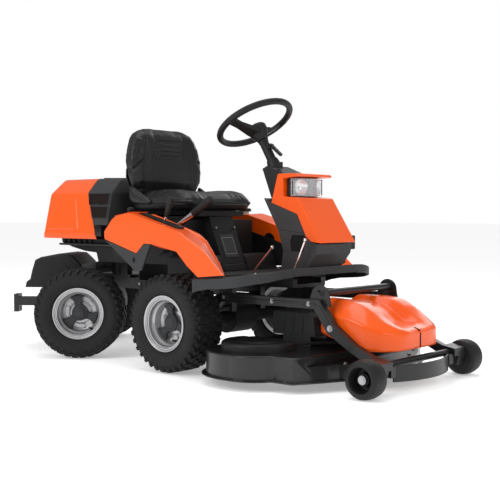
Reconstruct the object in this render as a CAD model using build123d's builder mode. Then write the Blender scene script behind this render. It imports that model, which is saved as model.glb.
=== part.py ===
"""Articulated front-deck ride-on mower, in millimetres.

X is forward, Y is left and Z is up. The origin is on the ground below the front axle's centre.
The rear axle module is modelled turned by STEER about the vertical kingpin.
"""
import os
from math import cos, radians, sin

from build123d import *

# Wheels and stance
TYRE_R, TYRE_W, BEAD_R, FLANGE_R = 203.5, 170.0, 101.0, 115.5
TRACK_Y, STUB_R, RUN_GAP = 372.0, 15.0, 0.05
PIVOT_X, REAR_OFFSET, STEER = -757.0, 131.0, 40.24
KINGPIN_R, LIFT_X, LIFT_Z, LIFT_R = 30.0, 60.0, 250.0, 14.0
CASTER_X, CASTER_Y, CASTER_R, CASTER_W, CASTER_AXLE_R = 928.0, 354.0, 71.6, 79.4, 10.0
# Steering wheel and its column
WHEEL_X, WHEEL_Z, WHEEL_R, RIM_TUBE_R, RAKE = 113.0, 1042.0, 176.0, 14.0, 30.4
# Body
FENDER_OUT, FENDER_IN, SKIN, FLOOR_HALF = 440.0, 303.0, 5.0, 445.0
CONSOLE_HALF, SEAT_HALF, RAIL_IN, RAIL_OUT = 118.0, 240.0, 80.0, 110.0
HOOD_HINGE_X, HOOD_HINGE_Z = -1010.0, 545.0
# Deck
SPINDLE_X, SPINDLE_Y, FRONT_SPINDLE_X = 415.0, 325.0, 630.0
SPINDLE_R, PULLEY_R, BLADE_R, DECK_TOP, DECK_FOOT, NOSE_TOP = 12.0, 60.0, 188.0, 130.0, 35.0, 95.0
ARM_IN, ARM_OUT, COVER_HALF = 225.0, 255.0, 222.0
CHAMBERS = [(SPINDLE_X, -SPINDLE_Y), (SPINDLE_X, SPINDLE_Y), (FRONT_SPINDLE_X, 0.0)]

STEER_DIR = (cos(radians(STEER)), sin(radians(STEER)), 0.0)
STEER_LEFT = (-sin(radians(STEER)), cos(radians(STEER)), 0.0)
COLUMN_UP = (-sin(radians(RAKE)), 0.0, cos(radians(RAKE)))


def save(builder, name):
    """Label a finished piece and write its STEP file."""
    builder.part.label = name
    export_step(builder.part, f"parts/{name}.step")


def upright(y=0.0):
    """A plane facing right at y, with local X forward and local Y up."""
    return Plane(origin=(0, y, 0), x_dir=(1, 0, 0), z_dir=(0, -1, 0))


def rear_upright(y=0.0):
    """The same plane carried by the steered rear module."""
    origin = (PIVOT_X + y * STEER_LEFT[0], y * STEER_LEFT[1], 0)
    return Plane(origin=origin, x_dir=STEER_DIR, z_dir=(STEER_DIR[1], -STEER_DIR[0], 0))


def rear_level(z):
    """A level plane at z whose local X runs forward along the rear module."""
    return Plane(origin=(PIVOT_X, 0, z), x_dir=STEER_DIR, z_dir=(0, 0, 1))


def rear_point(x, y, z):
    """A point of the rear module in the row frame."""
    return (PIVOT_X + x * STEER_DIR[0] + y * STEER_LEFT[0],
            x * STEER_DIR[1] + y * STEER_LEFT[1], z)


def axle_plane(centre, outward):
    """A plane whose local X is the axle pointing outward and whose local Y is up."""
    return Plane(origin=centre, x_dir=outward, z_dir=(outward[1], -outward[0], 0))


def across(centre, outward, offset=0.0):
    """A plane square to the axle, offset outward from the wheel's middle."""
    return Plane(origin=centre, x_dir=(0, 0, 1), z_dir=outward).offset(offset)


def column_plane(distance):
    """A plane square to the steering column, a distance down from the wheel's centre."""
    origin = (WHEEL_X - distance * COLUMN_UP[0], 0, WHEEL_Z - distance * COLUMN_UP[2])
    return Plane(origin=origin, x_dir=(0, 1, 0), z_dir=COLUMN_UP)


def drive_wheel(place, centre, outward):
    """Tyre, and rim with its three-armed hub cover."""
    half = TYRE_W / 2
    with BuildPart() as tyre:
        with BuildSketch(axle_plane(centre, outward)):
            with BuildLine():
                Polyline((63, BEAD_R + 1), (63.5, 118), (half - 3, 134), (half, 160), (half - 6, 192))
                ThreePointArc((half - 6, 192), (0, TYRE_R), (6 - half, 192))
                Polyline((6 - half, 192), (-half, 160), (3 - half, 134), (-63.5, 118), (-63, BEAD_R + 1),
                         (-50, BEAD_R + 1), (-70, 135), (-68, 180))
                ThreePointArc((-68, 180), (0, 190), (68, 180))
                Polyline((68, 180), (70, 135), (50, BEAD_R + 1), (63, BEAD_R + 1))
            make_face()
        revolve(axis=Axis(centre, outward))
    save(tyre, f"tyre_{place}")
    with BuildPart() as rim:
        with BuildSketch(axle_plane(centre, outward)):
            with BuildLine():
                Polyline((70, FLANGE_R), (64, FLANGE_R), (64, BEAD_R), (44, BEAD_R), (36, 88),
                         (-20, 88), (-44, BEAD_R), (-64, BEAD_R), (-64, FLANGE_R), (-68, FLANGE_R),
                         (-68, 97), (-46, 97), (-22, 84), (-6, 84), (-6, 38), (-45, 38),
                         (-45, STUB_R + RUN_GAP), (10, STUB_R + RUN_GAP), (10, 38), (0, 38), (0, 84),
                         (38, 84), (46, 97), (70, 97), close=True)
            make_face()
        revolve(axis=Axis(centre, outward))
        with BuildSketch(across(centre, outward, 10)):
            Circle(38)
            with PolarLocations(52, 3):
                Rectangle(60, 34)
        extrude(amount=16)
    save(rim, f"rim_{place}")


def wheels():
    """The four driven wheels."""
    rear_right = rear_point(-REAR_OFFSET, -TRACK_Y, TYRE_R)
    rear_left = rear_point(-REAR_OFFSET, TRACK_Y, TYRE_R)
    outward_right = (-STEER_LEFT[0], -STEER_LEFT[1], 0)
    drive_wheel("front_right", (0, -TRACK_Y, TYRE_R), (0, -1, 0))
    drive_wheel("front_left", (0, TRACK_Y, TYRE_R), (0, 1, 0))
    drive_wheel("rear_right", rear_right, outward_right)
    drive_wheel("rear_left", rear_left, STEER_LEFT)


def axle_body(name, level, upright_plane, sides, x):
    """Transaxle housing with its two axle tubes and stub shafts along the axle at x."""
    with BuildPart() as axle:
        with BuildSketch(upright_plane):
            with Locations((x, TYRE_R)):
                Circle(72)
            with Locations((x, 265)):
                Rectangle(110, 70)
        extrude(amount=72, both=True)
        for side in sides:
            with BuildSketch(upright_plane.offset(side * 72)):
                with Locations((x, TYRE_R)):
                    Circle(32)
            extrude(amount=side * 250)
            with BuildSketch(upright_plane.offset(side * 322)):
                with Locations((x, TYRE_R)):
                    Circle(STUB_R)
            extrude(amount=side * 58)
        if level is not None:
            with BuildSketch(level):
                with Locations((-185, 0)):
                    Rectangle(80, 110)
            extrude(amount=90)
    save(axle, name)


def main_frame():
    """Twin rails with the kingpin bearing behind and the deck's hinge stubs in front."""
    with BuildPart() as frame:
        for side in (-1, 1):
            middle = side * (RAIL_IN + RAIL_OUT) / 2
            width = (RAIL_OUT - RAIL_IN) / 2
            with BuildSketch(upright(middle)):
                with BuildLine():
                    Polyline((-690, 300), (LIFT_X - 18, 300), (LIFT_X - 18, 232), (LIFT_X + 18, 232),
                             (LIFT_X + 18, 345), (410, 352), (410, 386), (90, 382), (-50, 350),
                             (-590, 350), (-590, 500), (-640, 500), (-640, 350), (-690, 350), close=True)
                make_face()
            extrude(amount=width, both=True)
            with BuildSketch(upright(side * 80)):
                with Locations((LIFT_X, LIFT_Z)):
                    Circle(LIFT_R)
            extrude(amount=-side * 180)
        with BuildSketch(Plane.XY.offset(350)):
            with Locations((-690, 0)):
                Rectangle(240, 2 * RAIL_OUT)
            with Locations((390, 0)):
                Rectangle(40, 2 * RAIL_IN)
        extrude(amount=14)
        with BuildSketch(Plane.XY.offset(328)):
            with Locations((PIVOT_X, 0)):
                Circle(48)
        extrude(amount=168)
        with BuildSketch(Plane.XY.offset(320)):
            with Locations((PIVOT_X, 0)):
                Circle(KINGPIN_R + RUN_GAP)
        extrude(amount=200, mode=Mode.SUBTRACT)
    save(frame, "main_frame")


def engine_group():
    """Engine bed, engine with its silencer, battery and fuel tank."""
    with BuildPart() as bed:
        with BuildSketch(Plane.XY.offset(500)):
            with Locations((-760, 0)):
                Rectangle(400, 450)
        extrude(amount=10)
    save(bed, "engine_bed")
    with BuildPart() as engine:
        with BuildSketch(Plane.XY.offset(510)):
            with Locations((-790, 0)):
                RectangleRounded(220, 230, 25)
        extrude(amount=130)
        with BuildSketch(Plane.XY.offset(640)):
            with Locations((-790, 0)):
                Circle(125)
        extrude(amount=80)
        for side in (-1, 1):
            for rib in range(5):
                with BuildSketch(upright(side * (115 + rib * 16))):
                    with Locations((-740, 590)):
                        Rectangle(120 - 8 * (rib % 2), 90 - 8 * (rib % 2))
                extrude(amount=-side * 16)
        with BuildSketch(upright()):
            with Locations((-930, 575)):
                Circle(26)
        extrude(amount=150, both=True)
    save(engine, "engine")
    with BuildPart() as battery:
        with BuildSketch(Plane.XY.offset(510)):
            with Locations((-615, 130)):
                Rectangle(75, 130)
        extrude(amount=125)
        with BuildSketch(Plane.XY.offset(635)):
            with Locations((-615, 90), (-615, 170)):
                Circle(9)
        extrude(amount=14)
    save(battery, "battery")
    with BuildPart() as tank:
        with BuildSketch(Plane.XY.offset(560)):
            with Locations((-270, 371)):
                RectangleRounded(110, 100, 12)
        extrude(amount=55)
        with BuildSketch(Plane.XY.offset(615)):
            with Locations((-270, 371)):
                Circle(20)
        extrude(amount=47)
    save(tank, "fuel_tank")
    with BuildPart() as cap:
        with BuildSketch(Plane.XY.offset(662.5)):
            with Locations((-270, 371)):
                Circle(30)
        extrude(amount=17)
        chamfer(cap.edges().group_by(Axis.Z)[-1], 4)
    save(cap, "fuel_cap")


def hood_solid(inset):
    """Tapered hood block, smaller by inset on every side."""
    sections = [(535, 300, -985, -1085, -522), (745, 258, -980, -1095, -526), (820, 165, -985, -1050, -560)]
    with BuildPart() as block:
        for z, half, corner, rear, front in sections:
            level = z - inset if z > 600 else z - 2 * inset
            with BuildSketch(Plane.XY.offset(level)):
                with BuildLine():
                    Line((corner + inset, half - inset), (front - inset, half - inset))
                    Line((front - inset, half - inset), (front - inset, inset - half))
                    Line((front - inset, inset - half), (corner + inset, inset - half))
                    ThreePointArc((corner + inset, inset - half), (rear + inset, 0),
                                  (corner + inset, half - inset))
                make_face()
        loft(ruled=True)
    return block.part


def hood_group():
    """Hood shell and the dark vent cover let into its front."""
    outer, inner = hood_solid(0), hood_solid(SKIN)
    with BuildPart(mode=Mode.PRIVATE) as vent_zone:
        with BuildSketch(upright()):
            with BuildLine():
                Polyline((-770, 860), (-712, 757), (-648, 618), (-500, 618), (-500, 860), close=True)
            make_face()
        extrude(amount=320, both=True)
    with BuildPart() as hood:
        add(outer)
        add(inner, mode=Mode.SUBTRACT)
        add(vent_zone.part, mode=Mode.SUBTRACT)
        with BuildSketch(upright()):
            with Locations((HOOD_HINGE_X, HOOD_HINGE_Z)):
                Circle(8)
        extrude(amount=60, both=True)
        with BuildSketch(Plane.XY.offset(HOOD_HINGE_Z - 4)):
            with Locations((HOOD_HINGE_X - 36, -40), (HOOD_HINGE_X - 36, 40)):
                Rectangle(72, 14)
        extrude(amount=8)
    save(hood, "hood")
    with BuildPart() as vent:
        add(outer)
        add(inner, mode=Mode.SUBTRACT)
        add(vent_zone.part, mode=Mode.INTERSECT)
    save(vent, "hood_vent")


def fender_block(side, inset):
    """Fender outline lofted from its outer plane to its inner one."""
    outer = [(-370, 545), (-373, 575), (-313, 637), (-218, 656), (97, 576), (224, 510), (335, 415),
             (195, 402), (135, 444), (75, 500), (-77, 527), (-118, 528), (-163, 487)]
    inner = [(-350, 560), (-352, 590), (-313, 640), (-205, 650), (23, 582), (110, 535), (215, 402),
             (170, 402), (120, 440), (30, 470), (-77, 495), (-118, 500), (-163, 505)]
    with BuildPart() as block:
        for y, outline in ((FENDER_OUT - inset, outer), (FENDER_IN + inset, inner)):
            shifted = []
            for number, (x, z) in enumerate(outline):
                upper = 1 <= number <= 6
                shifted.append((x, z - inset if upper else z - 40 * (inset > 0)))
            with BuildSketch(upright(side * y)):
                with BuildLine():
                    Polyline(*shifted, close=True)
                make_face()
        loft(ruled=True)
    return block.part


def fender_group():
    """Both fenders and their dark lower trims."""
    trim_line = [(-360, 538), (-163, 485), (-118, 526), (-79, 525), (-132, 418), (-168, 410), (-240, 458)]
    for side, word in ((-1, "right"), (1, "left")):
        outer, inner = fender_block(side, 0), fender_block(side, SKIN)
        with BuildPart() as fender:
            add(outer)
            add(inner, mode=Mode.SUBTRACT)
            if side == 1:
                with BuildSketch(Plane.XY.offset(600)):
                    with Locations((-270, 371)):
                        Circle(23)
                extrude(amount=90, mode=Mode.SUBTRACT)
            else:
                with BuildSketch(Plane.XY.offset(560)):
                    with Locations((-90, -362)):
                        Rectangle(190, 30)
                    with Locations((-282, -362)):
                        Rectangle(52, 24)
                extrude(amount=120, mode=Mode.SUBTRACT)
        save(fender, f"fender_{word}")
    with BuildPart() as trims:
        for side in (-1, 1):
            with BuildSketch(upright(side * (FENDER_OUT - 1))):
                with BuildLine():
                    Polyline(*trim_line, close=True)
                make_face()
                with Locations((-178, 458)):
                    Circle(6, mode=Mode.SUBTRACT)
            extrude(amount=side * 10)
    save(trims, "fender_trims")


def lever_panel():
    """Slotted guide under the fender's top opening, with the throttle's plate behind it."""
    with BuildPart() as panel:
        with BuildSketch(upright(-362)):
            with BuildLine():
                Polyline((-205, 634), (20, 574), (20, 568), (-205, 628), close=True)
            make_face()
        extrude(amount=22, both=True)
        with BuildSketch(Plane.XY.offset(560)):
            with Locations((-90, -362)):
                Rectangle(160, 14)
        extrude(amount=120, mode=Mode.SUBTRACT)
    save(panel, "lever_panel")


def seat_group():
    """Seat tower, hinged bracket, pan, cushion and backrest."""
    with BuildPart() as tower:
        with BuildSketch(upright()):
            with BuildLine():
                Polyline((-515, 432), (-130, 432), (-130, 625), (-515, 625), close=True)
            make_face()
        extrude(amount=262, both=True)
        with BuildSketch(upright()):
            with BuildLine():
                Polyline((-130, 432), (-8, 432), (-70, 590), (-88, 638), (-130, 638), close=True)
            make_face()
        extrude(amount=75, both=True)
        with BuildSketch(upright()):
            with BuildLine():
                Polyline((-510, 430), (-135, 430), (-135, 620), (-510, 620), close=True)
            make_face()
        extrude(amount=257, both=True, mode=Mode.SUBTRACT)
        with BuildSketch(upright()):
            with BuildLine():
                Polyline((-136, 430), (-15, 430), (-76, 589), (-93, 633), (-126, 633), (-136, 620), close=True)
            make_face()
        extrude(amount=70, both=True, mode=Mode.SUBTRACT)
    save(tower, "seat_tower")
    with BuildPart() as bracket:
        with BuildSketch(Plane.XY.offset(640)):
            with Locations((-285, 0)):
                Rectangle(360, 300)
        extrude(amount=10)
        with BuildSketch(Plane.XY.offset(650)):
            with Locations((-285, -110), (-285, 110)):
                Rectangle(330, 30)
        extrude(amount=15)
        with BuildSketch(upright()):
            with Locations((-105, 645)):
                Circle(5)
        extrude(amount=150, both=True)
    save(bracket, "seat_bracket")
    with BuildPart() as pan:
        with BuildSketch(Plane.XY.offset(665.5)):
            with Locations((-275, 0)):
                RectangleRounded(370, 430, 40)
        extrude(amount=16)
        with BuildSketch(upright()):
            with BuildLine():
                Polyline((-460, 666), (-445, 681), (-490, 860), (-506, 860), close=True)
            make_face()
        extrude(amount=170, both=True)
    save(pan, "seat_pan")
    with BuildPart() as cushion:
        with BuildSketch(upright()):
            with BuildLine():
                Polyline((-425, 684), (-90, 684), (-62, 694), (-66, 712))
                ThreePointArc((-66, 712), (-150, 757), (-260, 762))
                Polyline((-260, 762), (-415, 740), (-425, 684))
            make_face()
        extrude(amount=SEAT_HALF, both=True)
    save(cushion, "seat_cushion")
    with BuildPart() as back:
        with BuildSketch(upright()):
            with BuildLine():
                Polyline((-424, 705), (-418, 760), (-395, 800), (-418, 1000))
                ThreePointArc((-418, 1000), (-455, 1062), (-508, 1050))
                Polyline((-508, 1050), (-508, 864), (-484, 864), (-446, 705), (-424, 705))
            make_face()
        extrude(amount=246, both=True)
        with BuildSketch(Plane(origin=(-600, 0, 0), x_dir=(0, 1, 0), z_dir=(1, 0, 0))):
            with BuildLine():
                Polyline((-215, 700), (-235, 780), (-246, 850), (-225, 960))
                ThreePointArc((-225, 960), (-196, 1030), (-112, 1058))
                Line((-112, 1058), (112, 1058))
                ThreePointArc((112, 1058), (196, 1030), (225, 960))
                Polyline((225, 960), (246, 850), (235, 780), (215, 700), (-215, 700))
            make_face()
        extrude(amount=260, mode=Mode.INTERSECT)
    save(back, "seat_backrest")


def floor_group():
    """Footplate with side skirts, and its rubber mat."""
    rise = [(-20, 396), (197, 396), (350, 408), (475, 427), (500, 440)]
    with BuildPart() as plate:
        with BuildSketch(upright()):
            with BuildLine():
                Polyline(*rise, (500, 420), (473, 385), (373, 366), (219, 355), (168, 338), (176, 390),
                         (-20, 390), close=True)
            make_face()
        extrude(amount=FLOOR_HALF, both=True)
        with BuildSketch(upright()):
            with BuildLine():
                Polyline((140, 300), (140, 390), (197, 390), (350, 402), (473, 420), (478, 300), close=True)
            make_face()
        extrude(amount=FLOOR_HALF - 6, both=True, mode=Mode.SUBTRACT)
        with BuildSketch(Plane.XY.offset(300)):
            with BuildLine():
                Polyline((465, 445), (168, 445), (178, 285), (-20, 285), (-20, -285), (178, -285),
                         (168, -445), (465, -445))
                ThreePointArc((465, -445), (500, 0), (465, 445))
            make_face()
        extrude(amount=200, mode=Mode.INTERSECT)
    save(plate, "footplate")
    with BuildPart() as mat:
        with BuildSketch(upright()):
            with BuildLine():
                Polyline((5, 396), (197, 396), (345, 408), (345, 412), (197, 400), (5, 400), close=True)
            make_face()
        extrude(amount=270, both=True)
        with BuildSketch(upright()):
            with Locations((350, 405)):
                Rectangle(50, 40)
        extrude(amount=CONSOLE_HALF + 2, both=True, mode=Mode.SUBTRACT)
    save(mat, "floor_mat")


def console_group():
    """Console base and cover, dash, headlight and the steering column."""
    with BuildPart() as base:
        with BuildSketch(upright()):
            with BuildLine():
                Polyline((264, 714), (339, 584), (366, 501), (352, 412), (472, 430), (492, 440), (532, 490),
                         (540, 530), (508, 538), (481, 558), (436, 649), (303, 696), (262, 716), close=True)
            make_face()
        extrude(amount=CONSOLE_HALF, both=True)
        with BuildSketch(upright()):
            with BuildLine():
                Polyline((378, 590), (398, 501), (386, 400), (465, 400), (520, 500), (505, 530), (475, 550),
                         (430, 638), (370, 655), close=True)
            make_face()
        extrude(amount=CONSOLE_HALF - SKIN, both=True, mode=Mode.SUBTRACT)
    save(base, "console_base")
    with BuildPart() as cover:
        with BuildSketch(upright()):
            with BuildLine():
                Polyline((303, 697), (437, 650), (482, 560), (509, 540), (560, 534), (443, 716), (364, 722),
                         (364, 795), (438, 802), (436, 814), (337, 815), close=True)
            make_face()
        extrude(amount=CONSOLE_HALF, both=True)
        with BuildSketch(upright()):
            with BuildLine():
                Polyline((330, 690), (440, 655), (488, 565), (512, 545), (540, 540), (438, 706), (350, 712),
                         (350, 800), (345, 809), (341, 809), close=True)
            make_face()
        extrude(amount=CONSOLE_HALF - SKIN, both=True, mode=Mode.SUBTRACT)
    save(cover, "console_cover")
    with BuildPart() as dash:
        with BuildSketch(upright()):
            with BuildLine():
                Polyline((263, 718), (302, 698), (336, 816), (300, 829), (240, 852), (214, 840), close=True)
            make_face()
        extrude(amount=70, both=True)
        with BuildSketch(column_plane(190)):
            Circle(20.5)
        extrude(amount=-150, mode=Mode.SUBTRACT)
        with BuildSketch(column_plane(190)):
            Circle(20.5)
        extrude(amount=60, mode=Mode.SUBTRACT)
    save(dash, "dash_panel")
    with BuildPart() as housing:
        with BuildSketch(Plane.XY.offset(725)):
            with Locations((380, 0)):
                Rectangle(24, 190)
        extrude(amount=68)
    save(housing, "headlight_housing")
    with BuildPart() as lens:
        for inset, mode in ((0, Mode.ADD), (3, Mode.SUBTRACT)):
            with BuildSketch(Plane.XY.offset(722.5)):
                with BuildLine():
                    Line((394, 105 - inset), (394, inset - 105))
                    ThreePointArc((394, inset - 105), (434 - inset, 0), (394, 105 - inset))
                make_face()
            extrude(amount=72, mode=mode)
    save(lens, "headlight_lens")
    with BuildPart() as column:
        with BuildSketch(column_plane(310)):
            Circle(20)
        extrude(amount=238)
        with BuildSketch(column_plane(310)):
            Circle(10)
        extrude(amount=238, mode=Mode.SUBTRACT)
    save(column, "steering_column")


def steering_group():
    """Steering wheel with its shaft, the column's clamp lever and the ignition key."""
    with BuildPart() as wheel:
        with BuildSketch(upright()):
            with Locations((WHEEL_X + COLUMN_UP[2] * (WHEEL_R - RIM_TUBE_R),
                            WHEEL_Z - COLUMN_UP[0] * (WHEEL_R - RIM_TUBE_R))):
                Circle(RIM_TUBE_R)
        revolve(axis=Axis((WHEEL_X, 0, WHEEL_Z), COLUMN_UP))
        with BuildSketch(column_plane(70)):
            Circle(34)
        extrude(amount=60)
        with BuildSketch(column_plane(42)):
            with Locations((85, 0), (-85, 0)):
                Rectangle(130, 40)
        extrude(amount=40)
        with BuildSketch(column_plane(305)):
            Circle(10 - RUN_GAP)
        extrude(amount=235)
    save(wheel, "steering_wheel")
    with BuildPart() as clamp:
        with BuildSketch(upright()):
            with BuildLine():
                Polyline((199, 938), (208, 947), (262, 903), (256, 894), close=True)
            make_face()
        extrude(amount=7, both=True)
        with BuildSketch(upright()):
            with Locations((204, 942)):
                Circle(5)
        extrude(amount=14, both=True)
    save(clamp, "column_lever")
    with BuildPart() as key:
        with BuildSketch(Plane.XY.offset(839)):
            with Locations((285, -38)):
                Circle(9)
        extrude(amount=8)
        with BuildSketch(Plane.XY.offset(847)):
            with Locations((285, -38)):
                Rectangle(24, 5)
        extrude(amount=20)
    save(key, "ignition_key")


def bar(name, start, end, radius, grip_radius, grip_from, boss_r):
    """A straight rod on a cross boss, whose far part is a thicker grip."""
    first, last = Vector(*start), Vector(*end)
    heading = (last - first).normalized()
    length = (last - first).length
    with BuildPart() as rod:
        with BuildSketch(Plane(origin=first, z_dir=heading)):
            Circle(radius)
        extrude(amount=grip_from * length)
        with BuildSketch(Plane(origin=first + heading * grip_from * length, z_dir=heading)):
            Circle(grip_radius)
        extrude(amount=(1 - grip_from) * length)
        with BuildSketch(upright(start[1])):
            with Locations((start[0], start[2])):
                Circle(boss_r)
        extrude(amount=10, both=True)
    save(rod, name)


def controls():
    """Levers and pedals."""
    bar("lift_lever", (-118, -277, 576), (118, -277, 712), 14, 18, 0.52, 16)
    bar("drive_lever", (-101, -362, 545), (-31, -362, 721), 5, 15, 0.53, 8)
    bar("throttle_lever", (-282, -362, 622), (-282, -362, 680), 5, 15, 0.62, 6)
    bar("forward_pedal", (272, -200, 413), (380, -200, 520), 4.5, 8, 0.9, 6)
    bar("reverse_pedal", (452, -150, 434), (505, -150, 553), 4.5, 8, 0.9, 6)
    with BuildPart() as brake:
        with BuildSketch(Plane.YZ.offset(418)):
            with Locations((257, 528)):
                RectangleRounded(86, 60, 8)
        extrude(amount=12)
        with BuildSketch(upright(CONSOLE_HALF + 0.5)):
            with Locations((424, 445)):
                Circle(8)
        extrude(amount=-100)
        with BuildSketch(Plane.XY.offset(440)):
            with Locations((424, 222)):
                Rectangle(10, 14)
        extrude(amount=70)
    save(brake, "brake_pedal")


def rear_module():
    """Carrier with kingpin, tow hitch and plastic cover; the transaxle comes from axle_body."""
    with BuildPart() as carrier:
        with BuildSketch(rear_level(300)):
            Circle(60)
            with Locations((-130, 0)):
                Rectangle(200, 140)
            with Locations((-315, 0)):
                Rectangle(170, 70)
        extrude(amount=25)
        with BuildSketch(rear_level(325)):
            Circle(KINGPIN_R)
        extrude(amount=168)
    save(carrier, "rear_carrier")
    with BuildPart() as hitch:
        with BuildSketch(rear_upright()):
            with BuildLine():
                Polyline((-225, 201), (-225, 242), (-503, 242), (-503, 257), (-528, 257), (-528, 170),
                         (-503, 170), (-503, 201), close=True)
            make_face()
        extrude(amount=32, both=True)
        with BuildSketch(Plane(origin=rear_point(-540, 0, 186), z_dir=STEER_DIR)):
            Circle(8.5)
        extrude(amount=60, mode=Mode.SUBTRACT)
    save(hitch, "tow_hitch")
    outline = [(-430, 303), (-406, 343), (-382, 433), (-354, 447), (-255, 459), (-208, 455), (-161, 410)]
    lining = [(-424, 290), (-400, 341), (-377, 429), (-352, 442), (-255, 454), (-210, 450), (-150, 395),
              (-150, 290)]
    with BuildPart() as cover:
        with BuildSketch(rear_upright()):
            with BuildLine():
                Polyline(*outline, (-175, 396), (-215, 303), close=True)
            make_face()
        extrude(amount=200, both=True)
        with BuildSketch(rear_upright()):
            with BuildLine():
                Polyline(*lining, close=True)
            make_face()
        extrude(amount=200 - SKIN, both=True, mode=Mode.SUBTRACT)
    save(cover, "rear_cover")


def equipment_frame():
    """Two arms, their cross tubes, upright brackets and the support wheels' brackets."""
    with BuildPart() as frame:
        for side in (-1, 1):
            middle = side * (ARM_IN + ARM_OUT) / 2
            with BuildSketch(upright(middle)):
                with BuildLine():
                    Polyline((30, 232), (90, 232), (150, 291), (625, 291), (686, 205), (790, 143),
                             (880, 98), (958, 90), (958, 120), (900, 130), (813, 168), (712, 238),
                             (650, 326), (143, 326), (60, 290), (30, 262), close=True)
                make_face()
                with Locations((LIFT_X, LIFT_Z)):
                    Circle(LIFT_R + RUN_GAP, mode=Mode.SUBTRACT)
            extrude(amount=(ARM_OUT - ARM_IN) / 2, both=True)
            with BuildSketch(upright(side * 233)):
                with BuildLine():
                    Polyline((590, 320), (690, 300), (682, 340))
                    ThreePointArc((682, 340), (650, 380), (606, 362))
                    Line((606, 362), (590, 320))
                make_face()
                with Locations((636, 356)):
                    Circle(7, mode=Mode.SUBTRACT)
            extrude(amount=4, both=True)
            with BuildSketch(upright(side * 255)):
                with BuildLine():
                    Polyline((880, 98), (905, 50), (950, 50), (958, 90), (958, 120), (900, 130), close=True)
                make_face()
            extrude(amount=-side * 50)
        with BuildSketch(upright()):
            with Locations((652, 352), (925, 104)):
                Circle(13)
        extrude(amount=229, both=True)
    save(frame, "equipment_frame")
    with BuildPart() as axles:
        for side in (-1, 1):
            with BuildSketch(upright(side * 305)):
                with Locations((CASTER_X, CASTER_R)):
                    Circle(CASTER_AXLE_R)
            extrude(amount=-side * 64)
            with BuildSketch(upright(side * 369)):
                with Locations((CASTER_X, CASTER_R)):
                    Circle(17)
            extrude(amount=-side * 10)
    save(axles, "support_axles")
    with BuildPart() as bumper:
        with BuildSketch(Plane.XY.offset(42)):
            with BuildLine():
                ThreePointArc((945, -198), (998, 0), (945, 198))
                Line((945, 198), (939, 198))
                ThreePointArc((939, 198), (992, 0), (939, -198))
                Line((939, -198), (945, -198))
            make_face()
        extrude(amount=61)
        with BuildSketch(Plane.XY.offset(60)):
            with Locations((945, -210), (945, 210)):
                Rectangle(12, 29.8)
        extrude(amount=40)
    save(bumper, "front_bumper")


def support_wheels():
    """Two crowned support wheels with a deep outer recess."""
    half = CASTER_W / 2
    for side, word in ((-1, "right"), (1, "left")):
        centre, outward = (CASTER_X, side * CASTER_Y, CASTER_R), (0, side, 0)
        with BuildPart() as wheel:
            with BuildSketch(axle_plane(centre, outward)):
                with BuildLine():
                    Polyline((-half, CASTER_AXLE_R + RUN_GAP), (-half, 50), (-34, 66))
                    ThreePointArc((-34, 66), (0, CASTER_R), (34, 66))
                    Polyline((34, 66), (half, 53), (half, 46), (-10, 40), (-10, 24), (14, 22),
                             (14, CASTER_AXLE_R + RUN_GAP), (-half, CASTER_AXLE_R + RUN_GAP))
                make_face()
            revolve(axis=Axis(centre, outward))
        save(wheel, f"support_wheel_{word}")


def deck_outline(inset):
    """Deck plan outline, drawn in the current line builder and pulled in by inset."""
    with BuildSketch(Plane.XY.offset(DECK_FOOT), mode=Mode.PRIVATE) as plan:
        with BuildLine():
            for side in (-1, 1):
                ThreePointArc((198, side * 390), (300, side * 516), (440, side * 545))
                ThreePointArc((440, side * 545), (530, side * 528), (590, side * 466))
                Polyline((590, side * 466), (685, side * 462), (735, side * 372), (775, side * 285))
            ThreePointArc((775, -285), (872, 0), (775, 285))
            Line((198, -390), (198, 390))
        make_face()
        if inset:
            offset(amount=-inset)
    return plan.sketch


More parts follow.
